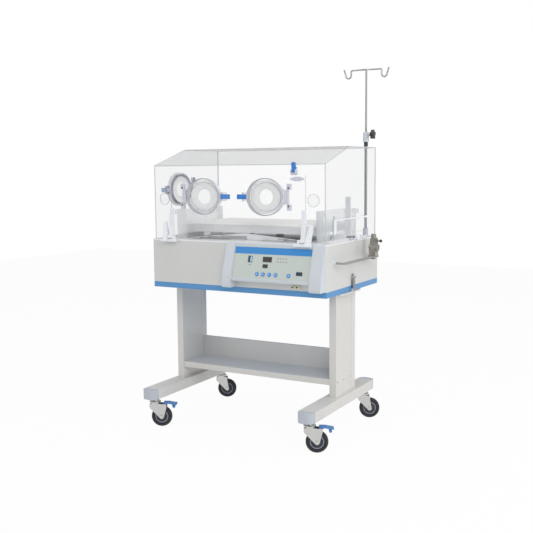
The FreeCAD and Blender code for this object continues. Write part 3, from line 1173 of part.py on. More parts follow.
def rail_clamp_body():
    x0 = RAIL_X - 16
    x1 = RAIL_X + 18
    y0 = CLAMP_Y - CLAMP_LENGTH / 2
    y1 = CLAMP_Y + CLAMP_LENGTH / 2
    low = RAIL_LEVEL - RAIL_HEIGHT / 2 - CLAMP_FOOT
    shoulder = RAIL_LEVEL + 34
    side = plate_yz([(y0 + 4, low, 3.0), (y1 - 2, low, 3.0), (y1, shoulder, 8.0), (y1 - 5, shoulder + 16, 8.0),
                     (y1, CLAMP_TOP - 30, 4.0), (y1 - 4, CLAMP_TOP - 20, 4.0), (y0 + 8, CLAMP_TOP - 20, 4.0),
                     (y0 + 6, shoulder + 22, 6.0), (y0, shoulder, 6.0)], x0, x1)
    front = plate_xz([(x0, low + 14, 4.0), (x0 + 12, low), (x1 - 6, low, 4.0), (x1, shoulder, 10.0),
                      (x1 - 3, CLAMP_TOP - 20), (x0 + 3, CLAMP_TOP - 20), (x0, shoulder, 10.0)], y0 - 1, y1 + 1)
    body = side.common(front)
    collar = rod((RAIL_X, CLAMP_Y, CLAMP_TOP - CLAMP_COLLAR), Z_AXIS, CLAMP_BORE + 4, CLAMP_COLLAR)
    boss = rod((x1 - 8, CLAMP_Y, RAIL_LEVEL + 48), X_AXIS, 9.0, 9.0)
    body = fused([body, collar, boss])
    half_t = RAIL_THICKNESS / 2 + CLAMP_FIT
    half_h = RAIL_HEIGHT / 2 + CLAMP_FIT
    channel = block(RAIL_X - half_t, RAIL_X + half_t, y0 - 2, y1 + 2, RAIL_LEVEL - half_h, RAIL_LEVEL + half_h)
    throat = block(RAIL_X, x1 + 1, y0 - 2, y1 + 2, RAIL_LEVEL - half_h, RAIL_LEVEL + half_h - 3)
    under = block(x0 - 1, x1 + 1, y0 + 18, y1 + 1, low - 1, RAIL_LEVEL - half_h)
    bore = rod((RAIL_X, CLAMP_Y, CLAMP_TOP - CLAMP_BORE_DEPTH), Z_AXIS, CLAMP_BORE, CLAMP_BORE_DEPTH + 1)
    screw_hole = rod((RAIL_X + CLAMP_BORE - 2, CLAMP_Y, CLAMP_TOP - CLAMP_SCREW_DOWN), X_AXIS,
                     3.0 + HINGE_FIT, 30)
    pivot_hole = rod((x1 - 7, CLAMP_Y, RAIL_LEVEL + 48), X_AXIS, 4.0 + HINGE_FIT, 20)
    return body.cut(group([channel, throat, under, bore, screw_hole, pivot_hole]))


def rail_clamp_lever():
    """Tightening lever on the clamp's outer face, pointing to the front."""
    x = RAIL_X + 18 + 1.5
    z = RAIL_LEVEL + 48
    end = CLAMP_Y - CLAMP_LEVER
    arm = plate_yz([(CLAMP_Y + 10, z - 12, 9.0), (CLAMP_Y - 12, z - 22, 8.0), (CLAMP_Y - 34, z - 5, 30.0),
                    (end, z + 1), (end, z + 15), (CLAMP_Y - 26, z + 14, 20.0),
                    (CLAMP_Y + 10, z + 10, 9.0)], x, x + 7)
    tip = rod((x - 4, end, z + 8), X_AXIS, 10.0, 13)
    pin = rod((x - 7, CLAMP_Y, z), X_AXIS, 4.0, 9)
    return fused([arm, tip, pin])


def rail_clamp_knob():
    """Screw with a ball knob that locks a pole in the clamp's bore."""
    z = CLAMP_TOP - CLAMP_SCREW_DOWN
    stem = rod((RAIL_X + CLAMP_BORE + 0.5, CLAMP_Y, z), X_AXIS, 3.0, 24)
    ball = Part.makeSphere(7.5, Vector(RAIL_X + CLAMP_BORE + 28, CLAMP_Y, z))
    return fused([stem, ball])


def draw_latch():
    """Lever and pull loop of the right draw latch, closed against the cabinet side."""
    x, z = DRAW_LATCH_AXIS
    half = DRAW_LATCH_WIDTH / 2
    top = z + DRAW_LATCH_HEIGHT
    lever = plate_xz([(x - 4, z - 4, 3.5), (x + 4, z - 4, 3.5), (x + 3, top - 14, 30.0), (x + 8, top, 1.5),
                      (x + 5, top + 1, 1.0), (x - 1, top - 12, 20.0), (x - 4, top - 20)],
                     DRAW_LATCH_Y - half, DRAW_LATCH_Y + half)
    channel = plate_yz(rectangle(DRAW_LATCH_Y - half + 3, DRAW_LATCH_Y + half - 3, z + 10, top - 16, 3.0),
                       x - 8, x + 1)
    lever = lever.cut(channel)
    return lever.cut(rod((x, DRAW_LATCH_Y - half - 1, z), Y_AXIS, 2.0 + HINGE_FIT, 2 * half + 2))


# Infusion pole

def pole_tube():
    """Wall bracket, socket and lower tube of the pole, welded together."""
    y = POLE_Y
    wall = HALF_DEPTH
    plate = plate_xz(rectangle(POLE_X - 24, POLE_X + 24, POLE_BOTTOM + 5, DECK_TOP - 4, 8.0), wall, wall + 4)
    arms = []
    for z0, z1 in ((POLE_BOTTOM + 15, POLE_BOTTOM + 35), (DECK_TOP - 30, DECK_TOP - 8)):
        arms.append(block(POLE_X - 10, POLE_X + 10, wall + 2, y, z0, z1))
        arms.append(rod((POLE_X, y, z0), Z_AXIS, POLE_SOCKET_RADIUS, z1 - z0))
    socket = rod((POLE_X, y, DECK_TOP - 9), Z_AXIS, POLE_SOCKET_RADIUS, 43)
    tube = rod((POLE_X, y, POLE_BOTTOM), Z_AXIS, POLE_TUBE_RADIUS, POLE_JOINT + 30 - POLE_BOTTOM)
    screws = [rod((POLE_X + dx, wall + 3, z), Y_AXIS, 4.0, 3.5)
              for dx in (-17, 17) for z in (POLE_BOTTOM + 50, DECK_TOP - 46)]
    solid = fused([plate, socket, tube] + arms + screws)
    return solid.cut(rod((POLE_X, y, POLE_BOTTOM + 3), Z_AXIS, POLE_ROD_RADIUS + POLE_FIT, POLE_JOINT))


def pole_collar():
    profile = [(POLE_TUBE_RADIUS, -20), (POLE_TUBE_RADIUS + 3, -20), (POLE_TUBE_RADIUS + 3, 0),
               (POLE_COLLAR_RADIUS, 2, 2.0), (POLE_COLLAR_RADIUS, POLE_COLLAR_HEIGHT, 4.0),
               (POLE_ROD_RADIUS + POLE_FIT, POLE_COLLAR_HEIGHT), (POLE_ROD_RADIUS + POLE_FIT, 30),
               (POLE_TUBE_RADIUS, 30)]
    collar = revolved(profile, (POLE_X, POLE_Y, POLE_JOINT), Z_AXIS)
    boss = rod((POLE_X, POLE_Y, POLE_JOINT + 37), X_AXIS, 8.0, POLE_COLLAR_RADIUS + 6)
    axis_clear = rod((POLE_X, POLE_Y, POLE_JOINT - 30), Z_AXIS, POLE_TUBE_RADIUS, 60)
    upper_clear = rod((POLE_X, POLE_Y, POLE_JOINT + 20), Z_AXIS, POLE_ROD_RADIUS + POLE_FIT, 60)
    solid = fused([collar, boss.cut(group([axis_clear, upper_clear]))])
    screw = rod((POLE_X + POLE_ROD_RADIUS, POLE_Y, POLE_JOINT + 37), X_AXIS, 3.0 + HINGE_FIT, 40)
    return solid.cut(screw)


def pole_knob():
    """Lobed black clamping knob with its screw, on the right of the collar."""
    x = POLE_X + POLE_COLLAR_RADIUS + 6
    z = POLE_JOINT + 37
    screw = rod((POLE_X + POLE_ROD_RADIUS + 0.4, POLE_Y, z), X_AXIS, 3.0, x + 12 - POLE_X - POLE_ROD_RADIUS)
    rim = POLE_KNOB_RADIUS - 3
    head = revolved([(0, 3), (8, 3), (rim, 9, 3.0), (rim, 22, 4.0), (0, 25)], (x, POLE_Y, z), X_AXIS)
    lobes = []
    for k in range(5):
        angle = math.radians(72 * k + 18)
        lobes.append(rod((x + 9, POLE_Y + (POLE_KNOB_RADIUS - 7) * math.cos(angle),
                          z + (POLE_KNOB_RADIUS - 7) * math.sin(angle)), X_AXIS, 8.5, 13))
    dips = []
    for k in range(5):
        angle = math.radians(72 * k + 54)
        dips.append(rod((x + 2, POLE_Y + (POLE_KNOB_RADIUS + 1) * math.cos(angle),
                         z + (POLE_KNOB_RADIUS + 1) * math.sin(angle)), X_AXIS, 6.0, 30))
    return fused([screw, head] + lobes).cut(group(dips))


def hook(side):
    """One arm of the hook bar: straight out, down round a U and up to the tip."""
    bend_x = POLE_X + side * HOOK_SPREAD
    r = HOOK_BEND
    z = POLE_TOP
    y = POLE_Y
    quarter = math.sqrt(0.5)
    turn = HOOK_BEND * 0.6
    start = Vector(POLE_X, y, z)
    corner_in = Vector(bend_x - side * turn, y, z)
    corner_mid = Vector(bend_x - side * turn * (1 - quarter), y, z - turn * (1 - quarter))
    corner_out = Vector(bend_x, y, z - turn)
    low = Vector(bend_x, y, z - HOOK_DROP)
    belly = Vector(bend_x + side * r, y, z - HOOK_DROP - r)
    rise = Vector(bend_x + side * 2 * r, y, z - HOOK_DROP)
    tip = Vector(bend_x + side * 2.6 * r, y, z + 2)
    path = [(start, corner_in), (corner_in, corner_mid, corner_out), (corner_out, low), (low, belly, rise)]
    bar = pipe(path, HOOK_BAR_RADIUS)
    end = Part.makeCylinder(HOOK_BAR_RADIUS, (tip - rise).Length, rise, tip - rise)
    joint = Part.makeSphere(HOOK_BAR_RADIUS, rise)
    return [bar, end, joint, Part.makeSphere(HOOK_BAR_RADIUS + 0.8, tip)]


def pole_hook_rod():
    upright = rod((POLE_X, POLE_Y, POLE_ROD_BOTTOM), Z_AXIS, POLE_ROD_RADIUS, POLE_TOP - POLE_ROD_BOTTOM)
    top = Part.makeSphere(POLE_ROD_RADIUS + 1.5, Vector(POLE_X, POLE_Y, POLE_TOP))
    return fused([upright, top] + hook(-1) + hook(1))


# Blower, heater and filter

def blower_motor():
    wheel_low = BLOWER_WHEEL_TOP - BLOWER_WHEEL_HEIGHT
    plate_top = wheel_low - BLOWER_PLATE
    motor_top = plate_top - BLOWER_PLATE
    body = revolved([(0, motor_top - MOTOR_HEIGHT), (MOTOR_RADIUS - 6, motor_top - MOTOR_HEIGHT),
                     (MOTOR_RADIUS, motor_top - MOTOR_HEIGHT + 6), (MOTOR_RADIUS, motor_top),
                     (0, motor_top)], (0, BLOWER_Y, 0), Z_AXIS)
    plate = rod((0, BLOWER_Y, motor_top), Z_AXIS, BLOWER_WHEEL_RADIUS + 26, BLOWER_PLATE)
    shaft = rod((0, BLOWER_Y, plate_top - 1), Z_AXIS, BLOWER_SHAFT_RADIUS, wheel_low + 16 - plate_top)
    posts = []
    for k in range(3):
        angle = math.radians(120 * k + 30)
        reach = BLOWER_WHEEL_RADIUS + 18
        foot = (reach * math.cos(angle), BLOWER_Y + reach * math.sin(angle), plate_top - 1)
        posts.append(rod(foot, Z_AXIS, 4.0, DECK_BASE - plate_top + 1))
    return fused([body, plate, shaft] + posts)


def blower_wheel():
    low = BLOWER_WHEEL_TOP - BLOWER_WHEEL_HEIGHT
    back = rod((0, BLOWER_Y, low), Z_AXIS, BLOWER_WHEEL_RADIUS, 2.0)
    hub = rod((0, BLOWER_Y, low), Z_AXIS, 14.0, 18.0)
    blades = []
    for k in range(12):
        blade = block(34, BLOWER_WHEEL_RADIUS - 1, -1.0, 1.0, low + 1, low + BLOWER_WHEEL_HEIGHT)
        blade = turned(blade, (BLOWER_WHEEL_RADIUS, 0, 0), Z_AXIS, 28)
        blades.append(moved(turned(blade, (0, 0, 0), Z_AXIS, 30 * k), 0, BLOWER_Y, 0))
    solid = fused([back, hub] + blades)
    keep = rod((0, BLOWER_Y, low - 1), Z_AXIS, BLOWER_WHEEL_RADIUS, BLOWER_WHEEL_HEIGHT + 2)
    return solid.common(keep).cut(rod((0, BLOWER_Y, low - 1), Z_AXIS, BLOWER_SHAFT_RADIUS + HINGE_FIT, 22))


def heater_ring():
    level = DECK_BASE - 22
    ring = Part.makeTorus(HEATER_RADIUS, HEATER_TUBE, Vector(0, BLOWER_Y, level), Z_AXIS)
    posts = []
    for k in range(3):
        angle = math.radians(120 * k + 90)
        foot = (HEATER_RADIUS * math.cos(angle), BLOWER_Y + HEATER_RADIUS * math.sin(angle), level)
        posts.append(rod(foot, Z_AXIS, 3.0, DECK_BASE - level))
    return fused([ring] + posts)


def air_filter_cover():
    level = (SHELL_BASE + DECK_BASE) / 2
    x0 = FILTER_X - FILTER_WIDTH / 2
    x1 = FILTER_X + FILTER_WIDTH / 2
    z0 = level - FILTER_HEIGHT / 2
    z1 = level + FILTER_HEIGHT / 2
    shell = plate_xz(rectangle(x0, x1, z0, z1, 10.0), HALF_DEPTH, HALF_DEPTH + FILTER_DEPTH)
    hollow = plate_xz(rectangle(x0 + 3, x1 - 3, z0 + 3, z1 - 3, 7.0),
                      HALF_DEPTH - 1, HALF_DEPTH + FILTER_DEPTH - 3)
    louvres = []
    for k in range(7):
        z = z0 + 19 + 12 * k
        louvres.append(block(x0 + 24, x1 - 24, HALF_DEPTH, HALF_DEPTH + FILTER_DEPTH + 1, z, z + 5))
    return shell.cut(group([hollow] + louvres))


# The whole assembly

def build_nodes():
    nodes = {
        "stand_frame": stand_frame(),
        "foot_end_caps": foot_end_caps(),
        "shelf_tray": shelf_tray(),
        "stand_hardware": stand_hardware(),
        "base_strip": base_strip(),
        "cabinet_shell": cabinet_shell(),
        "deck_plate": deck_plate(),
        "control_housing": control_housing(),
        "control_panel": control_panel(),
        "panel_windows": panel_windows(),
        "rocker_switch": rocker_switch(),
        "side_rail": side_rail(),
        "rail_clamp_body": rail_clamp_body(),
        "rail_clamp_lever": rail_clamp_lever(),
        "rail_clamp_knob": rail_clamp_knob(),
        "draw_latch_right": draw_latch(),
        "draw_latch_left": mirrored(draw_latch()),
        "pole_tube": pole_tube(),
        "pole_collar": pole_collar(),
        "pole_knob": pole_knob(),
        "pole_hook_rod": pole_hook_rod(),
        "mattress_tray": mattress_tray(),
        "mattress": mattress(),
        "end_guards": end_guards(),
        "air_probe": air_probe(),
        "tilt_knob": tilt_knob(),
        "hood_shell": hood_shell(),
        "front_door_panel": front_door_panel(),
        "front_door_latch": front_door_latch(),
        "door_arms": door_arms(),
        "door_hinge_brackets": door_hinge_brackets(),
        "tube_grommets": tube_grommets(),
        "side_hatch": side_hatch(),
        "blower_motor": blower_motor(),
        "blower_wheel": blower_wheel(),
        "heater_ring": heater_ring(),
        "air_filter_cover": air_filter_cover(),
    }
    for number, x in enumerate(BUTTON_COLUMNS, start=1):
        nodes[f"button_{number}"] = button(x)
    for name, side in (("left", -1), ("right", 1)):
        x = side * PORT_SPACING / 2
        nodes[f"port_door_{name}"] = moved(port_door(side), x, -HOOD_Y, PORT_Z)
        nodes[f"port_latch_{name}"] = moved(port_latch(-side), x - side * PORT_HALF_WIDTH, -HOOD_Y, PORT_Z)
    cuffs = [moved(port_cuff(), side * PORT_SPACING / 2, -HOOD_Y, PORT_Z) for side in (-1, 1)]
    nodes["port_cuffs"] = group(cuffs)
    nodes["side_port_door"] = side_turn(port_door(-1))
    nodes["side_port_latch"] = side_turn(moved(port_latch(1), PORT_HALF_WIDTH, 0, 0))
    nodes["side_port_cuff"] = side_turn(port_cuff())
    for name, (x, y, braked) in CASTERS.items():
        nodes[f"caster_fork_{name}"] = caster_place(fork(braked), x, y)
        nodes[f"caster_wheel_{name}"] = caster_place(wheel(), x, y)
        if braked:
            nodes[f"brake_pedal_{name}"] = caster_place(pedal(), x, y)
    return nodes


def frame_shift(nodes):
    """Move from the modelling origin to the floor point under the middle of the whole object."""
    box = FreeCAD.BoundBox()
    for shape in nodes.values():
        box.add(shape.optimalBoundingBox(False))
    return Vector(-(box.XMin + box.XMax) / 2, -(box.YMin + box.YMax) / 2, -box.ZMin)


NODES = build_nodes()
SHIFT = frame_shift(NODES)
for node_name, node_shape in NODES.items():
    placed = node_shape.copy()
    placed.translate(SHIFT)
    placed.exportStep(f"parts/{node_name}.step")
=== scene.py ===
import json
import logging
import math
import random
from collections.abc import Callable, Iterable, Sequence
from dataclasses import dataclass
from enum import Enum

import bmesh
import bpy
from mathutils import Matrix, Vector

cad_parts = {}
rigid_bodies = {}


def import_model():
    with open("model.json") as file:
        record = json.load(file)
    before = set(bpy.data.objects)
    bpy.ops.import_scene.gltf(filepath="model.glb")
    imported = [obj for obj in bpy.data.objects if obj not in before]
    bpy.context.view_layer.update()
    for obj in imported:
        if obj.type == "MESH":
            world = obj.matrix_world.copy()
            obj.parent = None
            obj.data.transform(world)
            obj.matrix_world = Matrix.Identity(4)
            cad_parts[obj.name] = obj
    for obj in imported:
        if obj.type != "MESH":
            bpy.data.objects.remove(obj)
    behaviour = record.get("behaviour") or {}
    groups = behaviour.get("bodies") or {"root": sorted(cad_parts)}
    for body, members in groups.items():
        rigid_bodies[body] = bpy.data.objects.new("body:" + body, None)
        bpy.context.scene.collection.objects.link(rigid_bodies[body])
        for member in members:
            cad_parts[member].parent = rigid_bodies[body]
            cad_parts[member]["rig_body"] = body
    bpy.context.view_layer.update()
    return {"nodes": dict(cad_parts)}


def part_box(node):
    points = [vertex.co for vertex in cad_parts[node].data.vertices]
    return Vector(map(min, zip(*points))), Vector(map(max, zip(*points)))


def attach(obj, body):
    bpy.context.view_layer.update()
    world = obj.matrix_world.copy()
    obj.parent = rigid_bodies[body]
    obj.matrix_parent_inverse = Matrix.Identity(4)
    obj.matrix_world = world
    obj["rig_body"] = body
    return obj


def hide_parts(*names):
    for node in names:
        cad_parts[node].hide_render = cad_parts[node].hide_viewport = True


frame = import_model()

LOG = logging.getLogger("incubator")
MM = 0.001
PHOTO_SIDE = 533.0
SENSOR_WIDTH = 36.0

Colour = tuple[float, float, float]
Point = tuple[float, float, float]
Outline = tuple[tuple[float, float], ...]
Picker = Callable[[Vector, Vector], int]


def linear(colour: Colour) -> tuple[float, float, float, float]:
    """Turn an 8-bit display colour into a linear one.

    Args:
        colour: red, green and blue, each from 0 to 255.

    Returns:
        Linear red, green, blue and an alpha of 1.
    """
    def channel(value: float) -> float:
        """Linear value of one channel."""
        share = value / 255.0
        return share / 12.92 if share <= 0.04045 else ((share + 0.055) / 1.055) ** 2.4

    return (*[channel(value) for value in colour], 1.0)


def scaled(colour: Sequence[float], share: float) -> tuple[float, ...]:
    """A linear colour made darker or lighter, with full alpha."""
    return (*[min(1.0, value * share) for value in colour[:3]], 1.0)


class Signal:
    """A shader socket that takes part in plain arithmetic."""

    def __init__(self, graph: "Graph", socket: bpy.types.NodeSocket) -> None:
        """Keep the graph and the output socket."""
        self.graph = graph
        self.socket = socket

    def _math(self, operation: str, other: "Signal | float") -> "Signal":
        """Add one Math node with this signal as its first value."""
        return self.graph.node("ShaderNodeMath", {"operation": operation}, {0: self, 1: other})

    def __add__(self, other: "Signal | float") -> "Signal":
        """Sum."""
        return self._math("ADD", other)

    def __mul__(self, other: "Signal | float") -> "Signal":
        """Product."""
        return self._math("MULTIPLY", other)

    __radd__ = __add__
    __rmul__ = __mul__


class Graph:
    """The nodes of one material or world."""

    def __init__(self, owner: bpy.types.ID, output: str = "ShaderNodeOutputMaterial") -> None:
        """Give a material or world an empty tree and its output.

        Args:
            owner: the material or world.
            output: Blender's name for its output node.
        """
        owner.use_nodes = True
        self.owner = owner
        self.tree = owner.node_tree
        self.tree.nodes.clear()
        self.output = self.tree.nodes.new(output)

    def node(self, kind: str, settings: dict | None = None, inputs: dict | None = None,
             output: int | str = 0) -> Signal:
        """Add a node.

        Args:
            kind: Blender's name for the node type.
            settings: properties of the node, set before its sockets.
            inputs: values or signals by socket name or number.
            output: the output socket that is wanted.

        Returns:
            The wanted output as a signal.
        """
        made = self.tree.nodes.new(kind)
        for key, value in (settings or {}).items():
            setattr(made, key, value)
        for key, value in (inputs or {}).items():
            if isinstance(value, Signal):
                self.tree.links.new(value.socket, made.inputs[key])
            else:
                made.inputs[key].default_value = value
        return Signal(self, made.outputs[output])

    def place(self, scale: Point = (1.0, 1.0, 1.0)) -> Signal:
        """Object coordinates, stretched by the scale."""
        where = self.node("ShaderNodeTexCoord", output="Object")
        return self.node("ShaderNodeMapping", None, {"Vector": where, "Scale": scale})

    def noise(self, scale: float, detail: float = 2.0, stretch: Point = (1.0, 1.0, 1.0)) -> Signal:
        """Noise from 0 to 1 over the object's own coordinates."""
        return self.node("ShaderNodeTexNoise", None,
                         {"Vector": self.place(stretch), "Scale": scale, "Detail": detail})

    def blend(self, factor: "Signal | float", first: object, second: object) -> Signal:
        """Mix two colours by a factor."""
        return self.node("ShaderNodeMix", {"data_type": "RGBA"}, {0: factor, 6: first, 7: second}, 2)

    def bump(self, height: Signal, strength: float, depth: float) -> Signal:
        """Normal of a surface with that height pattern, depth in metres."""
        return self.node("ShaderNodeBump", None, {"Strength": strength, "Distance": depth, "Height": height})

    def finish(self, surface: Signal) -> bpy.types.ID:
        """Connect the surface and give its owner back."""
        self.tree.links.new(surface.socket, self.output.inputs["Surface"])
        return self.owner

    def solid(self, inputs: dict) -> bpy.types.Material:
        """Finish the material with one Principled surface."""
        return self.finish(self.node("ShaderNodeBsdfPrincipled", None, inputs))


@dataclass(frozen=True)
class Finish:
    """A surface finish: the base class holds what all of them share."""

    name: str
    colour: Colour
    roughness: float = 0.4
    slot: str = "cabinet_paint"

    def material(self) -> bpy.types.Material:
        """The finish's material, built the first time it is asked for."""
        found = bpy.data.materials.get(self.name)
        return found or self.build(Graph(bpy.data.materials.new(self.name)))

    def toned(self, graph: Graph, amount: float, scale: float) -> Signal:
        """Base colour that drifts a little over the surface.

        Args:
            graph: the material's nodes.
            amount: largest drift, as a share of the colour.
            scale: patches per metre.

        Returns:
            The colour signal.
        """
        base = linear(self.colour)
        return graph.blend(graph.noise(scale, 4.0), scaled(base, 1 - amount), scaled(base, 1 + amount))

    def build(self, graph: Graph) -> bpy.types.Material:
        """Each kind of finish has its own nodes."""
        raise NotImplementedError


@dataclass(frozen=True)
class Enamel(Finish):
    """Stoved paint on sheet steel, with a faint orange peel."""

    peel: float = 0.25

    def build(self, graph: Graph) -> bpy.types.Material:
        """Paint over metal.

        Args:
            graph: the material's nodes.

        Returns:
            The finished material.
        """
        peel = graph.bump(graph.noise(420.0, 3.0), self.peel, 0.00012)
        rough = graph.noise(35.0) * 0.10 + (self.roughness - 0.05)
        return graph.solid({"Base Color": self.toned(graph, 0.025, 9.0), "Roughness": rough, "Normal": peel,
                            "Coat Weight": 0.15, "Coat Roughness": 0.2})


@dataclass(frozen=True)
class Moulded(Finish):
    """Moulded plastic, with the fine grain of its tool."""

    grain: float = 0.3
    coat: float = 0.0

    def build(self, graph: Graph) -> bpy.types.Material:
        """Plastic with a sparked grain.

        Args:
            graph: the material's nodes.

        Returns:
            The finished material.
        """
        grain = graph.bump(graph.noise(1500.0, 2.0), self.grain, 0.00008)
        rough = graph.noise(60.0) * 0.12 + (self.roughness - 0.06)
        return graph.solid({"Base Color": self.toned(graph, 0.02, 14.0), "Roughness": rough, "Normal": grain,
                            "Coat Weight": self.coat, "Coat Roughness": 0.08})


@dataclass(frozen=True)
class Metal(Finish):
    """Bare or plated metal, with streaks along one direction."""

    stretch: Point = (1.0, 1.0, 1.0)
    streak: float = 0.1

    def build(self, graph: Graph) -> bpy.types.Material:
        """Metal with streaks.

        Args:
            graph: the material's nodes.

        Returns:
            The finished material.
        """
        streaks = graph.noise(300.0, 3.0, self.stretch)
        rough = streaks * (2 * self.streak) + (self.roughness - self.streak)
        return graph.solid({"Base Color": self.toned(graph, 0.05, 22.0), "Metallic": 1.0, "Roughness": rough,
                            "Normal": graph.bump(streaks, 0.15, 0.00006)})


@dataclass(frozen=True)
class Rubber(Finish):
    """Dusty rubber."""

    def build(self, graph: Graph) -> bpy.types.Material:
        """Rubber with dust in its grain.

        Args:
            graph: the material's nodes.

        Returns:
            The finished material.
        """
        dust = (graph.noise(180.0, 5.0) * graph.noise(20.0, 2.0)) * 0.5
        base = graph.blend(dust, linear(self.colour), linear((92, 92, 94)))
        return graph.solid({"Base Color": base, "Roughness": dust * 0.3 + self.roughness,
                            "Normal": graph.bump(graph.noise(900.0, 3.0), 0.4, 0.00015)})


@dataclass(frozen=True)
class Cloth(Finish):
    """Woven cloth: threads crossing at right angles."""

    threads: float = 900.0
    depth: float = 0.00025
    shade: float = 0.86

    def build(self, graph: Graph) -> bpy.types.Material:
        """Weave from two bands.

        Args:
            graph: the material's nodes.

        Returns:
            The finished material.
        """
        across, along = (graph.node("ShaderNodeTexWave", {"bands_direction": way}, {
            "Vector": graph.place(), "Scale": self.threads / 20.0, "Distortion": 0.6}, 1) for way in "XZ")
        weave = across * 0.5 + along * 0.5
        base = linear(self.colour)
        tone = graph.blend(weave * 0.5 + graph.noise(30.0, 3.0) * 0.5, scaled(base, self.shade), base)
        return graph.solid({"Base Color": tone, "Roughness": self.roughness, "Sheen Weight": 0.25,
                            "Normal": graph.bump(weave, 0.5, self.depth)})


@dataclass(frozen=True)
class Acrylic(Finish):
    """Clear or frosted sheet, seen through by the share that the surface doesn't veil."""

    veil: float = 0.08
    rim: float = 0.5

    def build(self, graph: Graph) -> bpy.types.Material:
        """A thin veil that grows at grazing angles.

        Args:
            graph: the material's nodes.

        Returns:
            The finished material.
        """
        haze = graph.noise(12.0, 4.0) * (self.veil * 0.2) + self.veil * 0.9
        fresnel = graph.node("ShaderNodeFresnel", None, {"IOR": 1.45})
        share = graph.node("ShaderNodeClamp", None, {0: haze + fresnel * self.rim})
        clear = graph.node("ShaderNodeBsdfTransparent")
        sheet = graph.node("ShaderNodeBsdfPrincipled", None, {
            "Base Color": self.toned(graph, 0.02, 6.0), "Roughness": self.roughness,
            "Specular IOR Level": 0.8})
        return graph.finish(graph.node("ShaderNodeMixShader", None, {0: share, 1: clear, 2: sheet}))


@dataclass(frozen=True)
class PaintedGlow(Finish):
    """A small surface with a painted glow: it gives off light though it holds no lamp."""

    glow: float = 1.0

    def build(self, graph: Graph) -> bpy.types.Material:
        """Plastic with a painted glow, giving off some light though no lamp is in it.

        Args:
            graph: the material's nodes.

        Returns:
            The finished material.
        """
        colour = self.toned(graph, 0.08, 300.0)
        return graph.solid({"Base Color": colour, "Roughness": self.roughness, "Emission Color": colour,
                            "Emission Strength": self.glow})


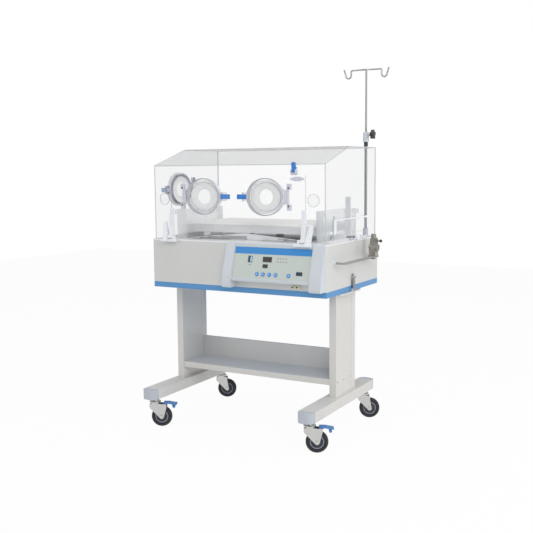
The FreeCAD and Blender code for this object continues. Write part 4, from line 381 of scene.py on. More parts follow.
class Finishes:
    """Every finish on the incubator."""

    STAND = Enamel("stand_enamel", (217, 215, 211), 0.38, "stand_paint")
    CAP = Moulded("foot_cap_plastic", (190, 198, 212), 0.35, "foot_cap_plastic")
    CABINET = Enamel("cabinet_enamel", (212, 213, 211), 0.42, "cabinet_paint")
    BLUE_STRIP = Moulded("blue_base_plastic", (88, 148, 202), 0.4, "strip_blue", 0.2)
    DECK = Moulded("deck_plastic", (238, 239, 241), 0.35, "deck_white")
    HOUSING = Moulded("housing_plastic", (205, 212, 218), 0.34, "housing_white", 0.04, 0.12)
    # Grey for the recessed faces under the overhanging face: painted shade.
    RECESS_SHADE = Moulded("socket_recess_painted_shade", (176, 182, 186), 0.45, "housing_white", 0.05)
    SOCKET = Moulded("socket_plastic", (226, 222, 204), 0.4, "housing_white", 0.05)
    PANEL = Moulded("panel_film", (198, 207, 201), 0.45, "panel_print", 0.05)
    PANEL_BLUE = Moulded("panel_strip_film", (56, 140, 210), 0.42, "panel_print", 0.05)
    WINDOW = Moulded("dark_window", (26, 26, 30), 0.12, "window_dark", 0.02, 0.5)
    BUTTON = Moulded("blue_key", (62, 146, 220), 0.35, "button_blue", 0.1, 0.3)
    MARK = Moulded("white_mark", (214, 228, 240), 0.4, "button_blue", 0.05)
    LAMP_OFF = Moulded("lamp_lens", (128, 136, 130), 0.25, "window_dark", 0.05, 0.4)
    # The unlit display digits get a faint painted glow.
    SEGMENT_GLOW = PaintedGlow("display_segment_painted_glow", (62, 40, 42), 0.4, "window_dark", 0.04)
    # The level window's pale blue gets a painted glow, though no lamp lights it.
    LEVEL_GLOW = PaintedGlow("level_window", (150, 206, 236), 0.3, "window_dark", 0.10)
    BLACK = Moulded("black_plastic", (30, 30, 33), 0.38, "black_plastic", 0.35)
    NAVY = Moulded("rocker_plastic", (34, 48, 96), 0.3, "rocker_black", 0.1, 0.3)
    # Chrome darkened below plain chrome: its own colour with a painted reflection of a darker room.
    CHROME_DARKENED = Metal("chrome_with_painted_reflection", (176, 175, 174), 0.16, "chrome", (1, 1, 0.05), 0.06)
    SATIN = Metal("satin_tube", (140, 142, 145), 0.34, "chrome", (1, 1, 0.03), 0.08)
    NICKEL = Metal("nickel_casting", (164, 160, 152), 0.32, "nickel", (1, 1, 1), 0.12)
    STEEL = Metal("latch_steel", (150, 152, 156), 0.30, "steel", (1, 1, 0.08), 0.10)
    ZINC = Metal("zinc_pressing", (202, 202, 200), 0.26, "zinc_steel", (0.2, 0.2, 1), 0.10)
    TYRE = Rubber("tyre_rubber", (26, 26, 29), 0.62, "tyre")
    RIM = Moulded("wheel_core", (58, 60, 68), 0.45, "tyre", 0.3)
    RIM_RING = Moulded("wheel_ring", (128, 136, 152), 0.4, "tyre", 0.2)
    PEDAL = Moulded("pedal_plastic", (66, 128, 192), 0.38, "pedal_blue", 0.3)
    LATCH = Moulded("latch_plastic", (46, 126, 206), 0.25, "latch_blue", 0.1, 0.4)
    # Paler copy of the blue latch plastic for the latch seen through the hood: painted light.
    FAR_LATCH_PAINTED_PALE = Moulded("far_latch_painted_pale", (172, 198, 228), 0.3, "latch_blue", 0.1, 0.3)
    CLEAR = Acrylic("hood_acrylic", (206, 208, 212), 0.06, "clear_acrylic", 0.022, 0.12)
    EDGE = Acrylic("acrylic_edge", (206, 209, 214), 0.12, "clear_acrylic", 0.5, 0.2)
    SEAM = Moulded("acrylic_seam", (196, 199, 204), 0.3, "clear_acrylic", 0.05)
    # Greyer, more veiled copy of the clear hood acrylic for the roof and sloped top: painted shade.
    ROOF_SHADE = Acrylic("roof_acrylic_painted_shade", (160, 162, 166), 0.06, "clear_acrylic", 0.11, 0.16)
    CAP_CLEAR = Acrylic("cap_acrylic", (226, 230, 236), 0.08, "clear_acrylic", 0.05, 0.2)
    CAP_RIM = Acrylic("cap_rim_acrylic", (242, 245, 250), 0.12, "clear_acrylic", 0.92, 0.1)
    GUARD = Acrylic("guard_acrylic", (243, 243, 251), 0.3, "guard_acrylic", 0.92, 0.2)
    PALE = Moulded("hinge_block_acrylic", (206, 209, 219), 0.3, "clear_acrylic", 0.05, 0.2)
    SILICONE = Acrylic("clear_silicone", (226, 228, 230), 0.4, "grommet_clear", 0.10, 0.2)
    TRAY = Moulded("tray_plastic", (229, 230, 232), 0.35, "tray_white")
    HINGE = Moulded("hinge_plastic", (236, 239, 243), 0.28, "hinge_white", 0.05, 0.1)
    COVER = Cloth("mattress_cover", (250, 250, 250), 0.75, "mattress_cover", 1400.0, 0.0001, 0.98)
    CUFF = Cloth("cuff_cloth", (250, 250, 249), 0.8, "cuff_fabric", 1100.0, 0.00025, 0.96)
    MOTOR = Enamel("motor_enamel", (88, 90, 94), 0.45, "motor_steel")
    IMPELLER = Moulded("impeller_plastic", (52, 52, 56), 0.5, "impeller_plastic")


@dataclass(frozen=True)
class CabinetFrame:
    """Places given in millimetres from the floor under the middle of the cabinet."""

    middle_x: float
    middle_y: float

    @classmethod
    def from_base(cls) -> "CabinetFrame":
        """The frame read from the base strip, whose box is centred on the cabinet."""
        low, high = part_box("base_strip")
        return cls((low.x + high.x) / 2, (low.y + high.y) / 2)

    def at(self, x: float, y: float, z: float) -> Vector:
        """Point in metres in the object's frame."""
        return Vector((self.middle_x + x * MM, self.middle_y + y * MM, z * MM))

    def back(self, point: Vector) -> Vector:
        """A point of the object's frame in millimetres from the cabinet."""
        return Vector(((point.x - self.middle_x) / MM, (point.y - self.middle_y) / MM, point.z / MM))


PLACE = CabinetFrame.from_base()


class Shop:
    """Makes, dresses and mounts the pieces."""

    @staticmethod
    def add(name: str, data: bpy.types.ID) -> bpy.types.Object:
        """Put a new object in the scene.

        Args:
            name: the object's name.
            data: its mesh, lamp or camera.

        Returns:
            The new object.
        """
        made = bpy.data.objects.new(name, data)
        bpy.context.scene.collection.objects.link(made)
        return made

    @staticmethod
    def piece(name: str, mesh: bmesh.types.BMesh, finishes: Sequence[Finish], body: str,
              smooth: float = 35.0) -> bpy.types.Object:
        """Turn a bmesh into a piece that rides on a body.

        Args:
            name: the piece's name.
            mesh: its shape in the object's frame, which is freed.
            finishes: one finish per material number.
            body: the body it moves with.
            smooth: largest angle in degrees that is shaded round.

        Returns:
            The new object.
        """
        data = bpy.data.meshes.new(name)
        bmesh.ops.recalc_face_normals(mesh, faces=mesh.faces)
        mesh.to_mesh(data)
        mesh.free()
        made = Shop.add(name, data)
        Shop.shade(made, smooth)
        Shop.dress(made, finishes)
        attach(made, body)
        LOG.info("piece %s: %d faces", name, len(data.polygons))
        return made

    @staticmethod
    def shade(made: bpy.types.Object, angle: float) -> None:
        """Round shading up to an angle in degrees."""
        made.data.polygons.foreach_set("use_smooth", [True] * len(made.data.polygons))
        made.data.set_sharp_from_angle(angle=math.radians(angle))

    @staticmethod
    def dress(made: bpy.types.Object, finishes: Sequence[Finish]) -> None:
        """Give an object its materials, with the faces' numbers kept.

        Args:
            made: the object.
            finishes: one finish per material number.
        """
        numbers = [0] * len(made.data.polygons)
        made.data.polygons.foreach_get("material_index", numbers)
        made.data.materials.clear()
        for finish in finishes:
            made.data.materials.append(finish.material())
        made.data.polygons.foreach_set("material_index", numbers)

    @staticmethod
    def settle(made: bpy.types.Object) -> None:
        """Replace an object's mesh by the result of its modifiers.

        Args:
            made: the object, which loses its modifiers.
        """
        bpy.context.view_layer.update()
        graph = bpy.context.evaluated_depsgraph_get()
        result = bpy.data.meshes.new_from_object(made.evaluated_get(graph), depsgraph=graph)
        made.modifiers.clear()
        made.data = result

    @staticmethod
    def refine(node: str, finishes: Sequence[Finish], edge: float = 0.6, pick: Picker | None = None,
               smooth: float = 32.0) -> None:
        """Stand a finished copy in for a CAD node: merged, with softened edges and materials by place.

        Args:
            node: the CAD node.
            finishes: its finishes, one per material number.
            edge: width of the softened edges in millimetres, or 0 for none.
            pick: gives a face's material number from its centre in millimetres and its normal.
            smooth: largest angle in degrees that is shaded round.
        """
        source = frame["nodes"][node]
        shape = bmesh.new()
        shape.from_mesh(source.data)
        bmesh.ops.remove_doubles(shape, verts=shape.verts, dist=3e-6)
        bmesh.ops.dissolve_limit(shape, angle_limit=math.radians(0.4), verts=shape.verts, edges=shape.edges)
        data = bpy.data.meshes.new(f"{node}_finished")
        for face in shape.faces:
            face.smooth = True
            if pick:
                face.material_index = pick(PLACE.back(face.calc_center_median()), face.normal)
        shape.to_mesh(data)
        shape.free()
        made = Shop.add(f"{node}_finished", data)
        Shop.dress(made, finishes)
        data.set_sharp_from_angle(angle=math.radians(smooth))
        if edge:
            bevel = made.modifiers.new("edges", "BEVEL")
            bevel.width = edge * MM
            bevel.segments = 2
            bevel.limit_method = "ANGLE"
            bevel.angle_limit = math.radians(smooth)
            bevel.harden_normals = True
            Shop.settle(made)
        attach(made, source["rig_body"])
        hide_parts(node)
        LOG.info("finished %s: %d faces", node, len(made.data.polygons))

    @staticmethod
    def bar(shape: bmesh.types.BMesh, start: Vector, end: Vector, radius: float, sides: int) -> None:
        """Add a closed round bar between two points, sizes in metres.

        Args:
            shape: receives the faces.
            start: middle of one end.
            end: middle of the other end.
            radius: the bar's radius.
            sides: steps round the bar.
        """
        axis = end - start
        place = Matrix.Translation((start + end) / 2) @ axis.to_track_quat("Z", "Y").to_matrix().to_4x4()
        bmesh.ops.create_cone(shape, cap_ends=True, segments=sides, radius1=radius, radius2=radius,
                              depth=axis.length, matrix=place)

    @staticmethod
    def skin(shape: bmesh.types.BMesh, rings: Sequence[list], material: int = 0) -> None:
        """Join rings of corners side by side, and the last ring to the first.

        Args:
            shape: receives the faces.
            rings: rings with the same number of corners.
            material: material number of the faces.
        """
        for lower, upper in zip(rings, rings[1:] + rings[:1]):
            for step in range(len(lower)):
                after = (step + 1) % len(lower)
                corners = [lower[step], lower[after], upper[after], upper[step]]
                shape.faces.new(corners).material_index = material

    @staticmethod
    def lathe(shape: bmesh.types.BMesh, profile: Sequence[tuple[float, float]], centre: Vector, axis: Vector,
              sides: int, material: int) -> None:
        """Add a turned ring.

        Args:
            shape: receives the faces.
            profile: (radius, height) in millimetres, closed on itself.
            centre: where height 0 lies.
            axis: direction of the height.
            sides: steps round the axis.
            material: material number of the faces.
        """
        turn = axis.to_track_quat("Z", "Y").to_matrix()
        angles = [2 * math.pi * step / sides for step in range(sides)]
        circle = [(math.cos(angle), math.sin(angle)) for angle in angles]
        rings = []
        for radius, height in profile:
            ring = [Vector((radius * cosine, radius * sine, height)) * MM for cosine, sine in circle]
            rings.append([shape.verts.new(centre + turn @ local) for local in ring])
        Shop.skin(shape, rings, material)

    @staticmethod
    def plate(shape: bmesh.types.BMesh, corners: Iterable[Vector], depth: Vector, material: int = 0) -> None:
        """Add a prism: a flat outline pushed along a vector.

        Args:
            shape: receives the faces.
            corners: the flat outline.
            depth: how far it is pushed, and which way.
            material: material number of the faces.
        """
        base = [shape.verts.new(corner) for corner in corners]
        top = [shape.verts.new(vert.co + depth) for vert in base]
        faces = [shape.faces.new(base), shape.faces.new(list(reversed(top)))]
        for step, vert in enumerate(base):
            after = (step + 1) % len(base)
            faces.append(shape.faces.new([vert, top[step], top[after], base[after]]))
        for face in faces:
            face.material_index = material


@dataclass(frozen=True)
class ScrewSpot:
    """One screw head: its place in millimetres from the cabinet and the direction it faces."""

    x: float
    y: float
    z: float
    facing: Point


class ScrewTree:
    """Geometry nodes that set one screw head on each point of a mesh."""

    def __init__(self) -> None:
        """Build the tree with its named inputs."""
        self.tree = bpy.data.node_groups.new("screw_heads", "GeometryNodeTree")
        sockets = self.tree.interface
        sockets.new_socket("Geometry", in_out="INPUT", socket_type="NodeSocketGeometry")
        self.radius, self.height, self.finish = (
            sockets.new_socket(name, in_out="INPUT", socket_type=f"NodeSocket{kind}")
            for name, kind in (("Head radius", "Float"), ("Head height", "Float"), ("Finish", "Material")))
        sockets.new_socket("Geometry", in_out="OUTPUT", socket_type="NodeSocketGeometry")
        self._wire()

    def _add(self, kind: str, settings: dict | None = None, values: dict | None = None) -> bpy.types.Node:
        """Add one node with its settings and plain values.

        Args:
            kind: Blender's name for the node type.
            settings: properties of the node.
            values: plain values by socket name or number.

        Returns:
            The new node.
        """
        made = self.tree.nodes.new(kind)
        for key, value in (settings or {}).items():
            setattr(made, key, value)
        for key, value in (values or {}).items():
            made.inputs[key].default_value = value
        return made

    def _wire(self) -> None:
        """A low dome on every point, turned to the point's facing."""
        entry = self._add("NodeGroupInput")
        leave = self._add("NodeGroupOutput")
        dome = self._add("GeometryNodeMeshCylinder", None, {"Vertices": 14})
        crown = self._add("GeometryNodeMeshCone", None, {"Vertices": 14})
        narrow = self._add("ShaderNodeMath", {"operation": "MULTIPLY"}, {1: 0.62})
        low = self._add("ShaderNodeMath", {"operation": "MULTIPLY"}, {1: 0.35})
        lift = self._add("ShaderNodeCombineXYZ")
        raised = self._add("GeometryNodeTransform")
        head = self._add("GeometryNodeJoinGeometry")
        facing = self._add("GeometryNodeInputNamedAttribute", {"data_type": "FLOAT_VECTOR"},
                           {"Name": "facing"})
        turn = self._add("FunctionNodeAlignRotationToVector", {"axis": "Z"})
        heads = self._add("GeometryNodeInstanceOnPoints")
        solid = self._add("GeometryNodeRealizeInstances")
        paint = self._add("GeometryNodeSetMaterial")
        for source, leaving, target, entering in (
                (entry, "Head radius", dome, "Radius"), (entry, "Head height", dome, "Depth"),
                (entry, "Head radius", narrow, 0), (entry, "Head height", low, 0),
                (entry, "Head radius", crown, "Radius Bottom"), (narrow, 0, crown, "Radius Top"),
                (low, 0, crown, "Depth"), (low, 0, lift, "Z"), (crown, "Mesh", raised, "Geometry"),
                (lift, 0, raised, "Translation"), (dome, "Mesh", head, 0), (raised, "Geometry", head, 0),
                (entry, "Geometry", heads, "Points"), (head, 0, heads, "Instance"),
                (facing, "Attribute", turn, "Vector"), (turn, "Rotation", heads, "Rotation"),
                (heads, 0, solid, 0), (solid, 0, paint, "Geometry"), (entry, "Finish", paint, "Material"),
                (paint, 0, leave, 0)):
            self.tree.links.new(source.outputs[leaving], target.inputs[entering])

    def drive(self, name: str, spots: Sequence[ScrewSpot], radius: float, height: float, finish: Finish,
              body: str) -> None:
        """Make one piece with a screw on each spot.

        Args:
            name: the piece's name.
            spots: where the screws are.
            radius: head radius in millimetres.
            height: head height in millimetres.
            finish: finish of the heads.
            body: the body they ride on.
        """
        data = bpy.data.meshes.new(name)
        data.from_pydata([PLACE.at(spot.x, spot.y, spot.z) for spot in spots], [], [])
        facing = data.attributes.new("facing", "FLOAT_VECTOR", "POINT")
        facing.data.foreach_set("vector", [part for spot in spots for part in spot.facing])
        made = Shop.add(name, data)
        nodes = made.modifiers.new("screws", "NODES")
        nodes.node_group = self.tree
        nodes[self.radius.identifier] = radius * MM
        nodes[self.height.identifier] = height * MM
        nodes[self.finish.identifier] = finish.material()
        Shop.settle(made)
        Shop.shade(made, 30.0)
        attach(made, body)
        LOG.info("screws %s: %d", name, len(spots))


@dataclass
class Studio:
    """Camera, lamps, floor and world."""

    camera_place: Point = (2006.1, -3574.8, 1232.2)
    yaw: float = 0.51127
    pitch: float = 0.11401
    roll: float = -0.00846
    focal_pixels: float = 839.55
    floor_side: float = 14.0
    floor_white: float = 0.95
    aim_level: float = 850.0
    sky: float = 0.54

    def build(self) -> None:
        """Set the whole studio up."""
        scene = bpy.context.scene
        scene.view_settings.view_transform = "Standard"
        self.camera()
        self.floor()
        self.world()
        self.lamp("key", (2600, -3000, 3200), 2.2, 50.0)
        self.lamp("side", (3600, -200, 1900), 2.0, 32.0)
        self.lamp("fill", (-2800, -3000, 2000), 2.4, 16.0)
        self.lamp("top", (0, 0, 3900), 2.6, 30.0)

    def camera(self) -> None:
        """Camera at the photograph's place and angle."""
        forward = Vector((-math.sin(self.yaw) * math.cos(self.pitch), math.cos(self.yaw) * math.cos(self.pitch),
                          -math.sin(self.pitch)))
        level = Vector((math.cos(self.yaw), math.sin(self.yaw), 0.0))
        above = level.cross(forward)
        right = math.cos(self.roll) * level + math.sin(self.roll) * above
        up = math.cos(self.roll) * above - math.sin(self.roll) * level
        data = bpy.data.cameras.new("camera")
        data.sensor_width = SENSOR_WIDTH
        data.lens = self.focal_pixels / PHOTO_SIDE * SENSOR_WIDTH
        data.clip_end = 60.0
        made = Shop.add("camera", data)
        turn = Matrix((right, up, -forward)).transposed().to_4x4()
        made.matrix_world = Matrix.Translation(PLACE.at(*self.camera_place)) @ turn
        bpy.context.scene.camera = made

    def lamp(self, name: str, place: Point, side: float, power: float) -> None:
        """Add a square soft lamp aimed at the cabinet.

        Args:
            name: the lamp's name.
            place: where it hangs, in millimetres from the cabinet.
            side: length of its side in metres.
            power: its power in watts.
        """
        data = bpy.data.lights.new(name, "AREA")
        data.energy = power
        data.size = side
        made = Shop.add(name, data)
        here = PLACE.at(*place)
        aim = (PLACE.at(0, 0, self.aim_level) - here).to_track_quat("-Z", "Y")
        made.matrix_world = Matrix.Translation(here) @ aim.to_matrix().to_4x4()

    @staticmethod
    def background_share(graph: Graph) -> Signal:
        """One for rays that should meet a plain white background.

        Args:
            graph: the material's nodes.

        Returns:
            The share of plain white, 0 or 1.
        """
        path = graph.tree.nodes.new("ShaderNodeLightPath")
        seen, glossy, through = (Signal(graph, path.outputs[f"Is {kind} Ray"])
                                 for kind in ("Camera", "Glossy", "Transmission"))
        return graph.node("ShaderNodeClamp", None, {0: seen + glossy + through})

    def floor(self) -> None:
        """Pale floor that shows white to the camera and keeps a soft shadow."""
        shape = bmesh.new()
        half = self.floor_side / 2
        around = ((-half, -half), (half, -half), (half, half), (-half, half))
        shape.faces.new([shape.verts.new((x, y, 0.0)) for x, y in around])
        data = bpy.data.meshes.new("floor")
        shape.to_mesh(data)
        shape.free()
        made = Shop.add("floor", data)
        graph = Graph(bpy.data.materials.new("floor_paper"))
        paper = graph.node("ShaderNodeBsdfPrincipled", None, {
            "Base Color": graph.blend(graph.noise(3.0), linear((236, 236, 236)), linear((240, 240, 240))),
            "Roughness": 0.9})
        white = graph.node("ShaderNodeEmission", None, {"Color": (1, 1, 1, 1), "Strength": 1.0})
        share = self.background_share(graph) * self.floor_white
        mixed = graph.node("ShaderNodeMixShader", None, {0: share, 1: paper, 2: white})
        made.data.materials.append(graph.finish(mixed))

    def world(self) -> None:
        """Even sky that shows white to the camera."""
        world = bpy.data.worlds.new("studio")
        bpy.context.scene.world = world
        graph = Graph(world, "ShaderNodeOutputWorld")
        seen = graph.node("ShaderNodeLightPath", output="Is Camera Ray")
        plain, white = (graph.node("ShaderNodeBackground", None,
                                   {"Color": (1.0, 1.0, 1.0, 1.0), "Strength": power})
                        for power in (self.sky, 1.0))
        graph.finish(graph.node("ShaderNodeMixShader", None, {0: seen, 1: plain, 2: white}))


@dataclass
class Stand:
    """Feet, columns, shelf and fittings."""

    flange_low: float = 600.0
    screw_x: float = 440.0
    screw_rows: Point = (-125.0, -60.0, 10.0)
    screw_lift: float = 14.0

    def build(self, screws: ScrewTree) -> None:
        """Dress the stand.

        Args:
            screws: sets the screw heads.
        """
        Shop.refine("stand_frame", [Finishes.STAND], 1.0)
        Shop.refine("foot_end_caps", [Finishes.CAP], 1.2)
        Shop.refine("shelf_tray", [Finishes.STAND], 0.5)
        Shop.refine("stand_hardware", [Finishes.ZINC, Finishes.STAND], 0.3,
                    lambda centre, normal: 1 if centre.z > self.flange_low else 0)
        level = PLACE.back(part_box("shelf_tray")[0]).z + self.screw_lift
        spots = [ScrewSpot(side * self.screw_x, y, level, (side, 0.0, 0.0))
                 for side in (-1, 1) for y in self.screw_rows]
        screws.drive("shelf_screws", spots, 4.5, 2.2, Finishes.ZINC, "stand")


class CasterPlace(Enum):
    """The four casters."""

    FRONT_LEFT = "front_left"
    FRONT_RIGHT = "front_right"
    REAR_LEFT = "rear_left"
    REAR_RIGHT = "rear_right"

    @property
    def braked(self) -> bool:
        """The front casters have a pedal."""
        return self in (CasterPlace.FRONT_LEFT, CasterPlace.FRONT_RIGHT)


@dataclass
class Casters:
    """Swivel casters with a two-part wheel."""

    radius: float = 50.0
    width: float = 28.0
    heading: float = 27.0
    ring: tuple[float, float] = (26.0, 32.2)
    core: Outline = ((5.06, 0.0), (12.5, 0.0), (13.5, 1.0), (14.5, 5.0), (24.0, 6.5), (26.2, 3.2), (27.0, 2.2),
                     (31.0, 2.2), (32.0, 3.0), (33.4, 5.5), (35.1, 5.5))

    def build(self) -> None:
        """Dress the forks and pedals and make the wheels."""
        for place in CasterPlace:
            Shop.refine(f"caster_fork_{place.value}", [Finishes.ZINC], 0.5)
            if place.braked:
                Shop.refine(f"brake_pedal_{place.value}", [Finishes.PEDAL], 0.8)
            self.wheel(place)

    def mirrored(self, side: Sequence[tuple[float, float]]) -> list[tuple[float, float]]:
        """Closed outline from one side, given by radius and by distance in from that side.

        Args:
            side: (radius, distance in) along one side.

        Returns:
            (radius, height) round the outline.
        """
        half = self.width / 2
        return ([(reach, deep - half) for reach, deep in side]
                + [(reach, half - deep) for reach, deep in reversed(side)])

    def wheel(self, place: CasterPlace) -> None:
        """Tyre with rounded shoulders on a core with a raised ring and a bearing hub.

        Args:
            place: the caster that it belongs to.
        """
        node = f"caster_wheel_{place.value}"
        low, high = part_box(node)
        centre = (low + high) / 2
        angle = math.radians(self.heading)
        axle = Vector((-math.sin(angle), math.cos(angle), 0.0))
        tyre = ((35.2, 2.0), (36.0, 0.6), (38.0, 0.0), (42.0, 0.2), (self.radius - 4, 2.2),
                (self.radius - 1.2, 5.4), (self.radius, 9.0))
        shape = bmesh.new()
        for material, side in enumerate((tyre, self.core)):
            Shop.lathe(shape, self.mirrored(side), centre, axle, 64, material)
        for face in shape.faces:
            spot = face.calc_center_median() - centre
            reach = (spot - axle * spot.dot(axle)).length / MM
            if face.material_index == 1 and self.ring[0] < reach < self.ring[1]:
                face.material_index = 2
        made = Shop.piece(f"{node}_finished", shape, [Finishes.TYRE, Finishes.RIM, Finishes.RIM_RING],
                          f"{place.value}_wheel", 40.0)
        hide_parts(node)


@dataclass
class Cabinet:
    """Shell, blue base strip, deck and what is fixed to them."""

    half_length: float = 465.0
    half_depth: float = 295.0
    skin: float = 0.2
    boss_low: float = 780.0
    inlet_x: tuple[float, float] = (170.0, 240.0)
    inlet_level: float = 752.0
    inlet_half: float = 32.0
    inlet_depth: float = 17.0
    cover_inset: float = 10.0
    riser_front: float = -192.0
    riser_depth: float = 12.0
    riser_outline: Outline = ((-300, 909), (300, 909), (300, 914), (0, 940), (-300, 914))
    # Black patches on the riser's face: painted shade where the slots would be.
    riser_slot_shades: tuple[Point, ...] = ((-262, 5, 911.5), (-215, 5, 917.0), (-140, 5, 922.5), (200, 268, 911.5),
                                      (170, 225, 917.0))
    slot_shade_height: float = 2.4

    def build(self, screws: ScrewTree) -> None:
        """Dress the cabinet.

        Args:
            screws: sets the screw heads.
        """
        Shop.refine("base_strip", [Finishes.BLUE_STRIP], 1.0)
        Shop.refine("cabinet_shell", [Finishes.CABINET, Finishes.HOUSING, Finishes.STEEL, Finishes.BLACK], 0.8,
                    self.shell_finish)
        Shop.refine("deck_plate", [Finishes.DECK], 0.6)
        self.riser()
        Shop.refine("air_filter_cover", [Finishes.CABINET], 0.8)
        Shop.refine("draw_latch_right", [Finishes.STEEL], 0.4)
        Shop.refine("draw_latch_left", [Finishes.STEEL], 0.4)
        Shop.refine("blower_motor", [Finishes.MOTOR], 0.4)
        Shop.refine("blower_wheel", [Finishes.IMPELLER], 0.0)
        Shop.refine("heater_ring", [Finishes.STEEL], 0.0)
        low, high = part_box("air_filter_cover")
        corner, other = PLACE.back(low), PLACE.back(high)
        inset = self.cover_inset
        spots = [ScrewSpot(x, other.y, z, (0.0, 1.0, 0.0)) for x in (corner.x + inset, other.x - inset)
                 for z in (corner.z + inset, other.z - inset)]
        screws.drive("filter_screws", spots, 3.5, 2.0, Finishes.ZINC, "stand")

    def riser(self) -> None:
        """Low fence on the deck, under the front edge of the tray, with black patches on its face as painted
        shade for its slots.
        """
        shape = bmesh.new()
        deep = Vector((0.0, self.riser_depth, 0.0)) * MM
        Shop.plate(shape, [PLACE.at(x, self.riser_front, z) for x, z in self.riser_outline], deep)
        # Each slot is a black patch laid on the face, painted shade for the opening.
        for start, end, low in self.riser_slot_shades:
            high = low + self.slot_shade_height
            corners = ((start, low), (end, low), (end, high), (start, high))
            Shop.plate(shape, [PLACE.at(x, self.riser_front - 0.4, z) for x, z in corners], deep * 0.5, 1)
        Shop.piece("deck_riser", shape, [Finishes.DECK, Finishes.BLACK], "stand")

    def shell_finish(self, centre: Vector, normal: Vector) -> int:
        """White bosses, steel catches and a black inlet on the painted shell.

        Args:
            centre: middle of the face, in millimetres from the cabinet.
            normal: direction that the face points in.

        Returns:
            The face's material number.
        """
        if centre.x > self.half_length + self.skin and centre.z > self.boss_low:
            return 1
        if abs(centre.x) > self.half_length + self.skin:
            return 2
        inlet = (self.inlet_x[0] < centre.x < self.inlet_x[1] and centre.y > self.half_depth - self.inlet_depth
                 and abs(centre.z - self.inlet_level) < self.inlet_half)
        return 3 if inlet or centre.y > self.half_depth + self.skin else 0


